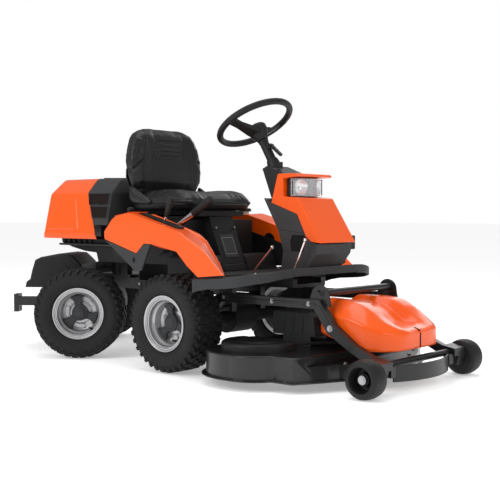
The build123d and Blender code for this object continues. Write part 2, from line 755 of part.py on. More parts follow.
def deck_group():
    """Pressed deck shell, pulley covers, belt and belt guards."""
    with BuildPart() as shell:
        with BuildSketch(Plane.XY.offset(DECK_FOOT)):
            add(deck_outline(0))
        extrude(amount=6)
        with BuildSketch(Plane.XY.offset(DECK_FOOT)):
            add(deck_outline(18))
        extrude(amount=DECK_TOP - DECK_FOOT)
        with BuildSketch(Plane.XY.offset(NOSE_TOP)):
            with Locations((FRONT_SPINDLE_X + 220, 0)):
                Rectangle(300, 1200)
        extrude(amount=DECK_TOP, mode=Mode.SUBTRACT)
        with BuildSketch(Plane.XY.offset(DECK_FOOT)):
            add(deck_outline(22))
        extrude(amount=NOSE_TOP - DECK_FOOT - 5, mode=Mode.SUBTRACT)
        with BuildSketch(Plane.XY.offset(NOSE_TOP - 5)):
            add(deck_outline(22))
            with Locations((FRONT_SPINDLE_X + 220, 0)):
                Rectangle(310, 1200, mode=Mode.SUBTRACT)
        extrude(amount=DECK_TOP - NOSE_TOP, mode=Mode.SUBTRACT)
        with BuildSketch(Plane.XY.offset(96)):
            with Locations(*CHAMBERS):
                Circle(32)
        extrude(amount=40)
        with BuildSketch(Plane.XY.offset(90)):
            with Locations(*CHAMBERS):
                Circle(SPINDLE_R + RUN_GAP)
        extrude(amount=60, mode=Mode.SUBTRACT)
    save(shell, "deck_shell")
    with BuildPart() as covers:
        for x, y in CHAMBERS[:2]:
            with BuildSketch(Plane.XY.offset(DECK_TOP)):
                with Locations((x, y)):
                    Circle(150)
            extrude(amount=38)
            with BuildSketch(Plane.XY.offset(DECK_TOP)):
                with Locations((x, y)):
                    Circle(145)
            extrude(amount=34, mode=Mode.SUBTRACT)
        with BuildSketch(Plane.XY.offset(DECK_TOP)):
            with Locations((SPINDLE_X, 0)):
                Rectangle(340, 540)
        extrude(amount=60, mode=Mode.SUBTRACT)
    save(covers, "pulley_covers")
    with BuildPart() as belt:
        with BuildSketch(Plane.XY.offset(145)):
            with Locations(*CHAMBERS):
                Circle(PULLEY_R + 10)
            make_hull()
        extrude(amount=12)
        with BuildSketch(Plane.XY.offset(145)):
            with Locations(*CHAMBERS):
                Circle(PULLEY_R + 0.5)
            make_hull()
        extrude(amount=12, mode=Mode.SUBTRACT)
    save(belt, "deck_belt")
    with BuildPart() as guard:
        with BuildSketch(upright()):
            with BuildLine():
                Polyline((340, 262), (520, 262), (545, 245), (552, 168), (530, 168), (530, DECK_TOP),
                         (392, DECK_TOP), (392, 168), (340, 168), close=True)
            make_face()
        extrude(amount=150, both=True)
        with BuildSketch(upright()):
            with BuildLine():
                Polyline((330, 258), (518, 258), (541, 242), (547, 120), (330, 120), close=True)
            make_face()
        extrude(amount=146, both=True, mode=Mode.SUBTRACT)
    save(guard, "belt_guard")
    for word, (x, y) in zip(("right", "left", "front"), CHAMBERS):
        with BuildPart() as blade:
            with BuildSketch(Plane.XY.offset(58)):
                with Locations((x, y)):
                    Rectangle(2 * BLADE_R - 6, 56)
            extrude(amount=5)
            with BuildSketch(Plane.XY.offset(52)):
                with Locations((x, y)):
                    Circle(SPINDLE_R)
            extrude(amount=112)
            with BuildSketch(Plane.XY.offset(144)):
                with Locations((x, y)):
                    Circle(PULLEY_R)
            extrude(amount=14)
        save(blade, f"blade_{word}")


def cover_block(inset):
    """Belt cover block: side outline cut by the plan outline."""
    with BuildPart() as block:
        with BuildSketch(upright()):
            with BuildLine():
                foot = 40 * (inset > 0)
                Polyline((556 + inset, 185 - foot), (556 + inset, 296 - inset), (600, 322 - inset),
                         (796, 322 - inset), (852, 262 - inset), (925, 222 - inset), (936 - inset, 142 - foot),
                         (790 + inset, 142 - foot), (785, 185 - foot), close=True)
            make_face()
        extrude(amount=COVER_HALF - inset, both=True)
        with BuildSketch(Plane.XY.offset(80)):
            with BuildLine():
                Polyline((556 + inset, 110), (640, 200 - inset), (700, COVER_HALF - inset),
                         (840, COVER_HALF - inset), (900, 170 - inset), (936 - inset, 60),
                         (936 - inset, -60), (900, inset - 170), (840, inset - COVER_HALF),
                         (700, inset - COVER_HALF), (640, inset - 200), (556 + inset, -110), close=True)
            make_face()
        extrude(amount=300, mode=Mode.INTERSECT)
    return block.part


def belt_cover():
    """Hollow belt cover, open below."""
    outer, inner = cover_block(0), cover_block(SKIN)
    with BuildPart() as cover:
        add(outer)
        add(inner, mode=Mode.SUBTRACT)
    save(cover, "belt_cover")


def main():
    """Build every piece."""
    os.makedirs("parts", exist_ok=True)
    wheels()
    main_frame()
    axle_body("front_transaxle", None, upright(), (-1, 1), 0.0)
    axle_body("rear_transaxle", rear_level(175), rear_upright(), (-1, 1), -REAR_OFFSET)
    engine_group()
    hood_group()
    fender_group()
    lever_panel()
    seat_group()
    floor_group()
    console_group()
    steering_group()
    controls()
    rear_module()
    equipment_frame()
    support_wheels()
    deck_group()
    belt_cover()


main()
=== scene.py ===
"""Dress the articulated ride-on mower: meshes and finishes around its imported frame."""

import logging
import math
from dataclasses import dataclass, field
from enum import Enum
from typing import Callable, Iterable, Sequence

import bmesh
import bpy
from mathutils import Matrix, Vector


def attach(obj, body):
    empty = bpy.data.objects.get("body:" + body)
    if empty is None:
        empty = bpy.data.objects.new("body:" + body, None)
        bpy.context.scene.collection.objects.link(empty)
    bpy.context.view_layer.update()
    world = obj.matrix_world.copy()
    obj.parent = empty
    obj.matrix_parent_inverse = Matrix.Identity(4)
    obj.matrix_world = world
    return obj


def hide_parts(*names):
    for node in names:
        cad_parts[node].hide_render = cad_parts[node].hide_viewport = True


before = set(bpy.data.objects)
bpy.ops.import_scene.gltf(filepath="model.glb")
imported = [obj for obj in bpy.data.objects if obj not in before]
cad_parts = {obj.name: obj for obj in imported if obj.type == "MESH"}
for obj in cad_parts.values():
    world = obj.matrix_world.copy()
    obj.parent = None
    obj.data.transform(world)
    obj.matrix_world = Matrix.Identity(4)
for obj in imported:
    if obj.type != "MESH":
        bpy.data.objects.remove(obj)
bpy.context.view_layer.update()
log = logging.getLogger("mower")
MM = 0.001
PIVOT_X, REAR_OFFSET, STEER = -757.0, 131.0, math.radians(40.24)
TRACK_Y, TYRE_R = 372.0, 203.5
RAKE = math.radians(30.4)
COLUMN_UP = Vector((-math.sin(RAKE), 0.0, math.cos(RAKE)))
WHEEL_CENTRE = Vector((113.0, 0.0, 1042.0)) * MM
REAR = Matrix.Translation((PIVOT_X * MM, 0, 0)) @ Matrix.Rotation(STEER, 4, "Z")
Point = tuple[float, float, float]


def mm(x: float, y: float, z: float) -> Vector:
    """A point given in millimetres, in metres."""
    return Vector((x, y, z)) * MM


class Side(Enum):
    """Side of the machine, as the sign of Y."""
    RIGHT = -1
    LEFT = 1

    @property
    def word(self) -> str:
        """The side's name in node names."""
        return self.name.lower()


# ---------------------------------------------------------------- shader maths and finishes
class Term:
    """A shader value that adds Math nodes when it is used in arithmetic."""

    def __init__(self, maker: "Shader", socket: bpy.types.NodeSocket) -> None:
        self.maker, self.socket = maker, socket

    def _math(self, operation: str, first: object, second: object) -> "Term":
        """One Math node on two values or links."""
        node = self.maker.node("ShaderNodeMath", {"operation": operation}, {0: first, 1: second})
        return Term(self.maker, node.outputs[0])

    def __add__(self, other: object) -> "Term":
        """Sum."""
        return self._math("ADD", self, other)

    def __mul__(self, other: object) -> "Term":
        """Product."""
        return self._math("MULTIPLY", self, other)

    __radd__ = __add__
    __rmul__ = __mul__

    def above(self, limit: float) -> "Term":
        """1 where the value is over the limit, else 0."""
        return self._math("GREATER_THAN", self, limit)


class Shader:
    """One material and its node tree."""

    def __init__(self, name: str) -> None:
        self.material = bpy.data.materials.new(name)
        self.material.use_nodes = True
        self.tree = self.material.node_tree
        self.tree.nodes.clear()
        self.surface = self.node("ShaderNodeBsdfPrincipled", {}, {})
        output = self.node("ShaderNodeOutputMaterial", {}, {})
        self.tree.links.new(self.surface.outputs[0], output.inputs[0])
        self.place = self.node("ShaderNodeTexCoord", {}, {}).outputs["Object"]

    def node(self, kind: str, settings: dict, values: dict) -> bpy.types.Node:
        """Make any node.

        Args:
            kind: the node's type name.
            settings: properties, set first; "stops" fills a colour ramp.
            values: numbers, colours, sockets or Terms for its inputs.

        Returns:
            The node.
        """
        made = self.tree.nodes.new(kind)
        for key, value in settings.items():
            if key == "stops":
                ramp = made.color_ramp.elements
                for number, (where, colour) in enumerate(value):
                    stop = ramp[number] if number < len(ramp) else ramp.new(where)
                    stop.position, stop.color = where, colour
            else:
                setattr(made, key, value)
        for key, value in values.items():
            if isinstance(value, Term):
                value = value.socket
            if isinstance(value, bpy.types.NodeSocket):
                self.tree.links.new(value, made.inputs[key])
            else:
                made.inputs[key].default_value = value
        return made

    def noise(self, scale: float, detail: float = 4.0) -> Term:
        """Fractal noise over the object's own coordinates."""
        made = self.node("ShaderNodeTexNoise", {}, {"Vector": self.place, "Scale": scale, "Detail": detail})
        return Term(self, made.outputs[0])

    def cells(self, scale: float) -> Term:
        """Cell distance, for leather and moulded grain."""
        made = self.node("ShaderNodeTexVoronoi", {}, {"Vector": self.place, "Scale": scale})
        return Term(self, made.outputs[0])

    def blend(self, amount: Term, first: Sequence[float], second: Sequence[float]) -> bpy.types.NodeSocket:
        """Two colours mixed by a factor.

        Args:
            amount: the share of the second colour.
            first: the colour at 0.
            second: the colour at 1.

        Returns:
            The mixed colour's socket.
        """
        made = self.node("ShaderNodeMix", {"data_type": "RGBA"},
                         {0: amount, 6: (*first, 1.0), 7: (*second, 1.0)})
        return made.outputs[2]

    def bump(self, height: Term, strength: float, depth: float) -> None:
        """Roughen the surface's normal by a height."""
        made = self.node("ShaderNodeBump", {}, {"Height": height, "Strength": strength, "Distance": depth})
        self.tree.links.new(made.outputs[0], self.surface.inputs["Normal"])

    def put(self, name: str, value: object) -> None:
        """Set or link one input of the surface.

        Args:
            name: the input's name.
            value: a number, colour, socket or Term.
        """
        socket = self.surface.inputs[name]
        if isinstance(value, Term):
            value = value.socket
        if isinstance(value, bpy.types.NodeSocket):
            self.tree.links.new(value, socket)
        else:
            socket.default_value = value


@dataclass(frozen=True)
class Finish:
    """A surface: two close tones, gloss, grain and clear coat, and the record's slot it belongs to."""
    name: str
    slot: str
    tone: tuple[float, float, float]
    second_tone: tuple[float, float, float]
    roughness: float
    metal: float = 0.0
    grain: float = 900.0
    grain_depth: float = 0.0001
    grain_strength: float = 0.15
    leather: bool = False
    coat: float = 0.0
    mottle: float = 14.0
    shine: float = 0.5
    patch: float = 0.16

    def make(self) -> bpy.types.Material:
        """The finish as a node material."""
        shader = Shader(self.name)
        mottle = shader.noise(self.mottle, 6.0)
        shader.put("Base Color", shader.blend(mottle, self.tone, self.second_tone))
        shader.put("Roughness",
                   shader.noise(self.mottle * 6) * self.patch + (self.roughness - self.patch / 2))
        shader.put("Metallic", self.metal)
        shader.put("Specular IOR Level", self.shine)
        if self.coat:
            shader.put("Coat Weight", self.coat)
            shader.put("Coat Roughness", 0.04)
        grain = shader.cells(self.grain) if self.leather else shader.noise(self.grain, 3.0)
        shader.bump(grain, self.grain_strength, self.grain_depth)
        return shader.material


ORANGE = Finish("orange_paint", "orange", (0.84, 0.094, 0.001), (0.80, 0.086, 0.001), 0.30, coat=0.22,
                shine=0.3, grain=180.0, grain_depth=0.00003, grain_strength=0.05, mottle=6.0, patch=0.03)
GREY = Finish("grey_moulding", "grey_plastic", (0.036, 0.037, 0.039), (0.025, 0.026, 0.028), 0.55,
              grain=1500.0, grain_strength=0.35, shine=0.3)
BLACK = Finish("black_moulding", "black_plastic", (0.008, 0.008, 0.0085), (0.005, 0.005, 0.0055), 0.50,
               grain=1400.0, grain_strength=0.3, shine=0.35)
VINYL = Finish("seat_vinyl", "seat_vinyl", (0.008, 0.008, 0.0085), (0.0045, 0.0045, 0.005), 0.42,
               leather=True, grain=620.0, grain_depth=0.0003, grain_strength=0.4, shine=0.4)
TYRE = Finish("tyre_rubber", "tyre", (0.009, 0.009, 0.009), (0.015, 0.0147, 0.0144), 0.74, grain=700.0,
              grain_depth=0.0003, grain_strength=0.4, mottle=30.0, shine=0.3)
RUBBER = Finish("grip_rubber", "rubber", (0.007, 0.007, 0.007), (0.011, 0.011, 0.011), 0.58,
                grain=1100.0, grain_strength=0.4, shine=0.35)
FRAME_PAINT = Finish("frame_paint", "steel_black", (0.011, 0.0113, 0.012), (0.007, 0.0073, 0.008), 0.40,
                     coat=0.12, grain=420.0, grain_strength=0.12, shine=0.4)
DECK_PAINT = Finish("deck_paint", "deck_black", (0.010, 0.0103, 0.011), (0.006, 0.0063, 0.007), 0.34,
                    coat=0.25, grain=300.0, grain_strength=0.12, mottle=8.0, shine=0.4)
RIM_PAINT = Finish("rim_silver", "rim_silver", (0.50, 0.50, 0.51), (0.40, 0.40, 0.41), 0.36, metal=0.7,
                   coat=0.15, grain=800.0, grain_strength=0.08)
CHROME = Finish("chrome_bar", "chrome", (0.80, 0.80, 0.81), (0.68, 0.68, 0.70), 0.14, metal=1.0,
                grain=300.0, grain_strength=0.04)
STEEL = Finish("plated_steel", "steel", (0.46, 0.46, 0.47), (0.34, 0.34, 0.35), 0.33, metal=1.0,
               grain=900.0, grain_strength=0.15)
ALLOY = Finish("engine_alloy", "alloy", (0.14, 0.14, 0.145), (0.08, 0.08, 0.085), 0.50, metal=0.7,
               grain=500.0, grain_depth=0.0004, grain_strength=0.5)
CAST = Finish("cast_iron", "cast", (0.020, 0.020, 0.021), (0.012, 0.012, 0.013), 0.60, metal=0.2,
              grain=420.0, grain_depth=0.0005, grain_strength=0.5, shine=0.35)
TANK = Finish("tank_white", "tank", (0.62, 0.62, 0.58), (0.52, 0.52, 0.48), 0.45)
LABEL = Finish("label_plate", "black_plastic", (0.045, 0.045, 0.045), (0.030, 0.030, 0.030), 0.35,
               metal=0.2)
# Near-black, low-shine finish: painted shade in the trim holes, the lever slot, the console cup, the belt
# cover's slot and the grommet's hollow; on the console's part lines it is their real dark joint colour.
RECESS_SHADE_AND_SEAM = Finish("painted_recess_shade_and_seam", "black_plastic", (0.004, 0.004, 0.004), (0.006, 0.006, 0.006), 0.75,
                shine=0.2)
MIRROR = Finish("lamp_reflector", "lens", (0.86, 0.87, 0.88), (0.74, 0.75, 0.76), 0.12, metal=1.0,
                grain=240.0, grain_strength=0.15)


class Paints:
    """Materials, each made once."""

    def __init__(self) -> None:
        self.made: dict[str, bpy.types.Material] = {}

    def of(self, finish: Finish) -> bpy.types.Material:
        """The material of a finish.

        Args:
            finish: the finish.

        Returns:
            Its one material.
        """
        if finish.name not in self.made:
            self.made[finish.name] = finish.make()
        return self.made[finish.name]

    def glass(self) -> bpy.types.Material:
        """Clear lamp glass."""
        if "lamp_glass" not in self.made:
            shader = Shader("lamp_glass")
            shader.put("Base Color", (0.93, 0.96, 1.0, 1.0))
            shader.put("Roughness", shader.noise(40.0) * 0.04 + 0.02)
            shader.put("Alpha", shader.noise(25.0) * 0.06 + 0.20)
            shader.put("Coat Weight", 1.0)
            shader.bump(shader.noise(60.0, 1.0), 0.08, 0.0004)
            self.made["lamp_glass"] = shader.material
        return self.made["lamp_glass"]

    def grille(self) -> bpy.types.Material:
        """Dark perforated mesh; its holes are painted near-black as shade behind the mesh."""
        if "grille_mesh" not in self.made:
            shader = Shader("grille_mesh")
            # The holes take the near-black first colour, painted shade of the space behind the mesh; the
            # webs take the dark red-black mesh colour.
            holes = shader.cells(190.0).above(0.38)
            shader.put("Base Color", shader.blend(holes, (0.001, 0.0008, 0.0008), (0.011, 0.004, 0.0035)))
            shader.put("Specular IOR Level", 0.15)
            shader.put("Roughness", 0.6)
            shader.bump(holes, 0.6, 0.0008)
            self.made["grille_mesh"] = shader.material
        return self.made["grille_mesh"]


PAINTS = Paints()


# ---------------------------------------------------------------- mesh making
class Form:
    """A bmesh being shaped, which ends as one piece on a body."""

    def __init__(self) -> None:
        self.mesh = bmesh.new()

    @classmethod
    def copy_of(cls, *nodes: str) -> "Form":
        """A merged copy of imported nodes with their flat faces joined, ready for rounding.

        Args:
            nodes: names of the CAD nodes.

        Returns:
            The form.
        """
        form = cls()
        for node in nodes:
            form.mesh.from_mesh(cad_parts[node].data)
        bmesh.ops.remove_doubles(form.mesh, verts=form.mesh.verts, dist=2e-5)
        bmesh.ops.dissolve_limit(form.mesh, angle_limit=math.radians(1.0), verts=form.mesh.verts,
                                 edges=form.mesh.edges, use_dissolve_boundaries=False)
        return form

    def spun(self, profile: Iterable[tuple[float, float]], centre: Vector, axis: Vector, steps: int,
             closed: bool = True) -> "Form":
        """Revolve a profile.

        Args:
            profile: (along the axis, radius) in millimetres.
            centre: point on the axis.
            axis: unit direction.
            steps: segments round.
            closed: join the last profile point to the first.

        Returns:
            This form.
        """
        side = axis.orthogonal().normalized()
        verts = [self.mesh.verts.new(centre + axis * a * MM + side * r * MM) for a, r in profile]
        edges = [self.mesh.edges.new(pair) for pair in zip(verts, verts[1:])]
        if closed:
            edges.append(self.mesh.edges.new((verts[-1], verts[0])))
        bmesh.ops.spin(self.mesh, geom=verts + edges, cent=centre, axis=axis, angle=math.tau,
                       steps=steps, use_merge=True)
        bmesh.ops.remove_doubles(self.mesh, verts=self.mesh.verts, dist=1e-5)
        return self

    def slab(self, points: Sequence[Vector], depth: Vector) -> list[bmesh.types.BMVert]:
        """Extrude a flat outline.

        Args:
            points: the outline in order.
            depth: how far and which way.

        Returns:
            The slab's vertices.
        """
        face = self.mesh.faces.new([self.mesh.verts.new(p) for p in points])
        ring = list(face.verts)
        grown = bmesh.ops.extrude_face_region(self.mesh, geom=[face])["geom"]
        moved = [g for g in grown if isinstance(g, bmesh.types.BMVert)]
        bmesh.ops.translate(self.mesh, vec=depth, verts=moved)
        return ring + moved

    def loft(self, loops: Sequence[Sequence[Vector]], caps: bool = True, ring: bool = True) -> "Form":
        """Bridge loops of equal count one to the next.

        Args:
            loops: rows of points in order.
            caps: fill the first and last loop.
            ring: each row is closed.

        Returns:
            This form.
        """
        rows = []
        for loop in loops:
            verts = [self.mesh.verts.new(p) for p in loop]
            edges = [self.mesh.edges.new(pair) for pair in zip(verts, verts[1:])]
            if ring:
                edges.append(self.mesh.edges.new((verts[-1], verts[0])))
            rows.append((verts, edges))
        for (_, low), (_, high) in zip(rows, rows[1:]):
            bmesh.ops.bridge_loops(self.mesh, edges=low + high)
        if caps:
            self.mesh.faces.new(rows[0][0])
            self.mesh.faces.new(rows[-1][0])
        return self

    def block(self, centre: Vector, size: Vector, turn: Matrix | None = None) -> list[bmesh.types.BMVert]:
        """A box.

        Args:
            centre: its middle.
            size: its length, width and height.
            turn: rotation about its middle.

        Returns:
            Its vertices.
        """
        place = Matrix.Translation(centre) @ (turn or Matrix.Identity(4)) @ Matrix.Diagonal((*size, 1.0))
        return bmesh.ops.create_cube(self.mesh, size=1.0, matrix=place)["verts"]

    def rod(self, start: Vector, end: Vector, radius: float, end_radius: float | None = None,
            sides: int = 20) -> list[bmesh.types.BMVert]:
        """A capped cylinder or cone.

        Args:
            start: middle of the first end.
            end: middle of the last end.
            radius: radius at the start, in metres.
            end_radius: radius at the end, where it differs.
            sides: how many sides it has.

        Returns:
            Its vertices.
        """
        heading = end - start
        place = Matrix.Translation((start + end) / 2) @ heading.to_track_quat("Z", "Y").to_matrix().to_4x4()
        last = radius if end_radius is None else end_radius
        return bmesh.ops.create_cone(self.mesh, cap_ends=True, segments=sides, radius1=radius, radius2=last,
                                     depth=heading.length, matrix=place)["verts"]

    def bevel(self, width: float, segments: int = 2, sharp: float = 25.0,
              pick: Callable[[bmesh.types.BMEdge], bool] | None = None) -> "Form":
        """Round the form's edges.

        Args:
            width: width of the rounding in millimetres.
            segments: steps across it.
            sharp: only edges that turn by more degrees than this are rounded.
            pick: a further test an edge has to pass.

        Returns:
            This form.
        """
        limit = math.radians(sharp)
        edges = [e for e in self.mesh.edges if len(e.link_faces) == 2
                 and e.calc_face_angle(0.0) > limit and (pick is None or pick(e))]
        bmesh.ops.bevel(self.mesh, geom=edges, offset=width * MM, offset_type="OFFSET", segments=segments,
                        profile=0.5, affect="EDGES", material=-1, clamp_overlap=True)
        return self

    def cut(self, point: Vector, normal: Vector) -> "Form":
        """Clear away what lies beyond a plane.

        Args:
            point: a point on the plane.
            normal: direction from the plane towards what is cleared.

        Returns:
            This form.
        """
        bmesh.ops.bisect_plane(self.mesh, geom=self.mesh.verts[:] + self.mesh.edges[:] + self.mesh.faces[:],
                               plane_co=point, plane_no=normal, clear_outer=True)
        return self

    def outward(self) -> "Form":
        """Merge doubles and point faces out.

        Returns:
            This form.
        """
        bmesh.ops.remove_doubles(self.mesh, verts=self.mesh.verts, dist=1e-6)
        bmesh.ops.recalc_face_normals(self.mesh, faces=self.mesh.faces)
        return self

    def walled(self, thickness: float) -> "Form":
        """Give an open skin a wall on its inside.

        Args:
            thickness: the wall's thickness in millimetres.

        Returns:
            This form.
        """
        self.outward()
        bmesh.ops.solidify(self.mesh, geom=self.mesh.faces[:], thickness=thickness * MM)
        return self

    def finish(self, name: str, finish: Finish | bpy.types.Material, body: str, nodes: Sequence[str] = (),
               smooth: float = 35.0, levels: int = 0, slot: str = "", turn: bool = True,
               place: Matrix | None = None) -> bpy.types.Object:
        """Turn the form into a piece.

        Args:
            name: the piece's name.
            finish: its finish or material.
            body: the body it rides on.
            nodes: CAD nodes it stands for.
            smooth: edges sharper than this stay sharp, in degrees.
            levels: subdivision levels.
            slot: the record's material slot, where it isn't the finish's own; not used.
            turn: recalculate normals first.
            place: transform of the vertices.

        Returns:
            The object.
        """
        if place is not None:
            bmesh.ops.transform(self.mesh, matrix=place, verts=self.mesh.verts)
        if turn:
            bmesh.ops.recalc_face_normals(self.mesh, faces=self.mesh.faces)
        for face in self.mesh.faces:
            face.smooth = True
        for edge in self.mesh.edges:
            if len(edge.link_faces) == 2 and edge.calc_face_angle(0.0) > math.radians(smooth):
                edge.smooth = levels > 0
        data = bpy.data.meshes.new(name)
        self.mesh.to_mesh(data)
        self.mesh.free()
        piece = bpy.data.objects.new(name, data)
        bpy.context.scene.collection.objects.link(piece)
        data.materials.append(PAINTS.of(finish) if isinstance(finish, Finish) else finish)
        if levels:
            rounder = piece.modifiers.new("round", "SUBSURF")
            rounder.levels = rounder.render_levels = levels
        else:
            weigh = piece.modifiers.new("weigh", "WEIGHTED_NORMAL")
            weigh.keep_sharp = True
        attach(piece, body)
        if nodes:
            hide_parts(*nodes)
        log.info("%s on %s: %d faces", name, body, len(data.polygons))
        return piece


def arc(centre: tuple[float, float], radius: float, start: float, end: float,
        count: int) -> list[tuple[float, float]]:
    """Points of a flat arc.

    Args:
        centre: its centre.
        radius: its radius.
        start: first angle in degrees.
        end: last angle in degrees.
        count: how many points.

    Returns:
        The points in order.
    """
    step = (end - start) / (count - 1)
    angles = [math.radians(start + step * k) for k in range(count)]
    return [(centre[0] + radius * math.cos(a), centre[1] + radius * math.sin(a)) for a in angles]


def side_view(points: Iterable[tuple[float, float]], y: float) -> list[Vector]:
    """(x, z) points in millimetres placed at y."""
    return [mm(x, y, z) for x, z in points]


# ---------------------------------------------------------------- wheels
@dataclass
class DriveWheel:
    """One driven wheel: lugged tyre, dished rim, three-armed hub cover and valve."""
    place: str
    side: Side
    rear: bool
    lugs: int = 34
    lug_height: float = 8.5
    cover_r: float = 82.0
    arm_start: float = 79.0
    centre: Vector = field(init=False)
    out: Vector = field(init=False)

    def __post_init__(self) -> None:
        """Place the wheel's centre and outward axis."""
        x = -REAR_OFFSET if self.rear else 0.0
        self.centre = mm(x, self.side.value * TRACK_Y, TYRE_R)
        self.out = Vector((0.0, float(self.side.value), 0.0))
        if self.rear:
            self.centre = REAR @ self.centre
            self.out = (REAR.to_3x3() @ self.out).normalized()

    @property
    def name(self) -> str:
        """The wheel's place in node names."""
        return f"{self.place}_{self.side.word}"

    def tyre(self) -> None:
        """Carcass with sidewall rings, then rows of tread blocks."""
        form = Form()
        half = [(63, 103), (64, 118), (69, 122), (73, 127), (72, 131), (76, 137), (80, 148), (82, 160),
                (81, 168), (79, 171), (79, 175), (75, 184), (66, 190), (45, 193.5), (22, 194.5)]
        inner = [(50, 103), (64, 128), (70, 150), (64, 178), (30, 186)]
        outline = half + [(-a, r) for a, r in reversed(half)] + [(-a, r) for a, r in inner]
        form.spun(outline + list(reversed(inner)), self.centre, self.out, 96)
        up = Vector((0, 0, 1))
        ahead = self.out.cross(up)
        base = Matrix((ahead, self.out, up)).transposed().to_4x4()
        rows = [(0.0, 72.5, 24.0, 14.0, -30.0, 187.0), (0.5, 49.0, 26.0, 22.0, 14.0, 194.5),
                (0.0, 17.0, 24.0, 24.0, -12.0, 195.0)]
        for number in range(self.lugs):
            for phase, along, length, width, twist, radius in rows:
                for sign in (-1, 1):
                    angle = math.tau * (number + phase + (0.5 if sign < 0 else 0.0)) / self.lugs
                    shoulder = math.radians(42.0) * sign if along > 70 else 0.0
                    turn = (Matrix.Rotation(angle, 4, self.out) @ base
                            @ Matrix.Translation(mm(0, sign * along, radius))
                            @ Matrix.Rotation(-shoulder, 4, "X")
                            @ Matrix.Rotation(math.radians(twist * sign), 4, "Z"))
                    self.lug(form, Matrix.Translation(self.centre) @ turn, width, length)
        form.finish(f"tyre_{self.name}_skin", TYRE, f"wheel_{self.name}", (f"tyre_{self.name}",), 38,
                    turn=False)

    def lug(self, form: Form, place: Matrix, width: float, length: float) -> None:
        """One tapered tread block.

        Args:
            form: the form it joins.
            place: transform from the block's own frame.
            width: size round the tyre, in millimetres.
            length: size across the tyre, in millimetres.
        """
        made = bmesh.ops.create_cube(form.mesh, size=1.0)["verts"]
        for vert in made:
            taper = 0.84 if vert.co.z > 0 else 1.12
            vert.co = mm(vert.co.x * width * taper, vert.co.y * length * taper,
                         (vert.co.z + 0.12) * self.lug_height * 1.3)
        bmesh.ops.transform(form.mesh, matrix=place, verts=made)

    def rim(self) -> None:
        """Silver rim: stepped flange, drop centre, deep dish and hub tube."""
        form = Form()
        outline = [(70, 115.5), (64, 115.5), (64, 102), (44, 101), (36, 89), (-20, 89), (-44, 101),
                   (-64, 102), (-64, 115.5), (-68, 115.5), (-68, 98), (-46, 97), (-22, 85), (-8, 84),
                   (-8, 40), (-44, 38), (-44, 16), (4, 16), (8, 30), (6, 46), (0, 54), (-1, 70), (5, 80),
                   (14, 84.5), (34, 85.5), (41, 92), (46, 95), (60, 96.5), (61, 101), (55, 103), (56, 106),
                   (66, 107), (69, 110)]
        form.spun(outline, self.centre, self.out, 96)
        form.bevel(1.2, 2, 28)
        form.finish(f"rim_{self.name}_pressing", RIM_PAINT, f"wheel_{self.name}", (f"rim_{self.name}",), 40)

    def hub_cover(self) -> None:
        """Dark cover whose three arms flare at the rim, with a raised cap and bolts."""
        form = Form()
        up = Vector((0, 0, 1))
        ahead = self.out.cross(up).normalized()
        outline: list[Vector] = []
        for arm in range(3):
            heading = math.radians(self.arm_start + 120 * arm)
            flare = [(heading - 1.047, 35.0), (heading - 0.42, 41.0), (heading - 0.30, 56.0),
                     (heading - 0.36, 70.0)]
            tip = [(heading + math.radians(t), self.cover_r) for t in (-24, -12, 0, 12, 24)]
            back = [(heading + 0.36, 70.0), (heading + 0.30, 56.0), (heading + 0.42, 41.0)]
            for angle, radius in flare + tip + back:
                outline.append(self.centre + self.out * 12 * MM
                               + (ahead * math.cos(angle) + up * math.sin(angle)) * radius * MM)
        form.slab(outline, self.out * 11 * MM)
        form.outward().bevel(3.0, 3, 50)
        for arm in range(3):
            heading = math.radians(self.arm_start + 120 * arm)
            spoke = ahead * math.cos(heading) + up * math.sin(heading)
            across = self.out.cross(spoke)
            ridge = [self.centre + self.out * 22 * MM + spoke * r * MM + across * w * MM
                     for r, w in ((30, 11), (30, -11), (74, -19), (77, 0), (74, 19))]
            form.slab(ridge, self.out * 3 * MM)
        form.spun([(22, 0), (22, 36), (27, 36), (30, 32), (30, 27), (34, 24), (37, 17), (38, 0)],
                  self.centre, self.out, 40, closed=False)
        form.finish(f"hub_cover_{self.name}", GREY, f"wheel_{self.name}")
        bolt = Form()
        for number in range(3):
            heading = math.radians(self.arm_start + 60 + 120 * number)
            spot = self.centre + (ahead * math.cos(heading) + up * math.sin(heading)) * 62 * MM
            bolt.rod(spot - self.out * 2 * MM, spot + self.out * 7 * MM, 8 * MM, sides=6)
        bolt.finish(f"wheel_bolts_{self.name}", STEEL, f"wheel_{self.name}")

    def valve(self) -> None:
        """Rubber valve stem with its cap, standing in the dish."""
        form = Form()
        up = Vector((0, 0, 1))
        ahead = self.out.cross(up).normalized()
        way = (ahead * -0.62 - up * 0.78).normalized()
        foot = self.centre + way * 92 * MM + self.out * 40 * MM
        form.rod(foot, foot + self.out * 14 * MM - way * 6 * MM, 7 * MM, 4.5 * MM, 16)
        form.rod(foot + self.out * 12 * MM - way * 5 * MM, foot + self.out * 27 * MM - way * 12 * MM,
                 4.2 * MM, 3.6 * MM, 12)
        form.finish(f"valve_{self.name}", RUBBER, f"wheel_{self.name}")

    def build(self) -> None:
        """Make every piece of the wheel."""
        self.tyre()
        self.rim()
        self.hub_cover()
        self.valve()


# ---------------------------------------------------------------- hood
JOINT_SLOPE = Vector((0.891, 0, 0.454))


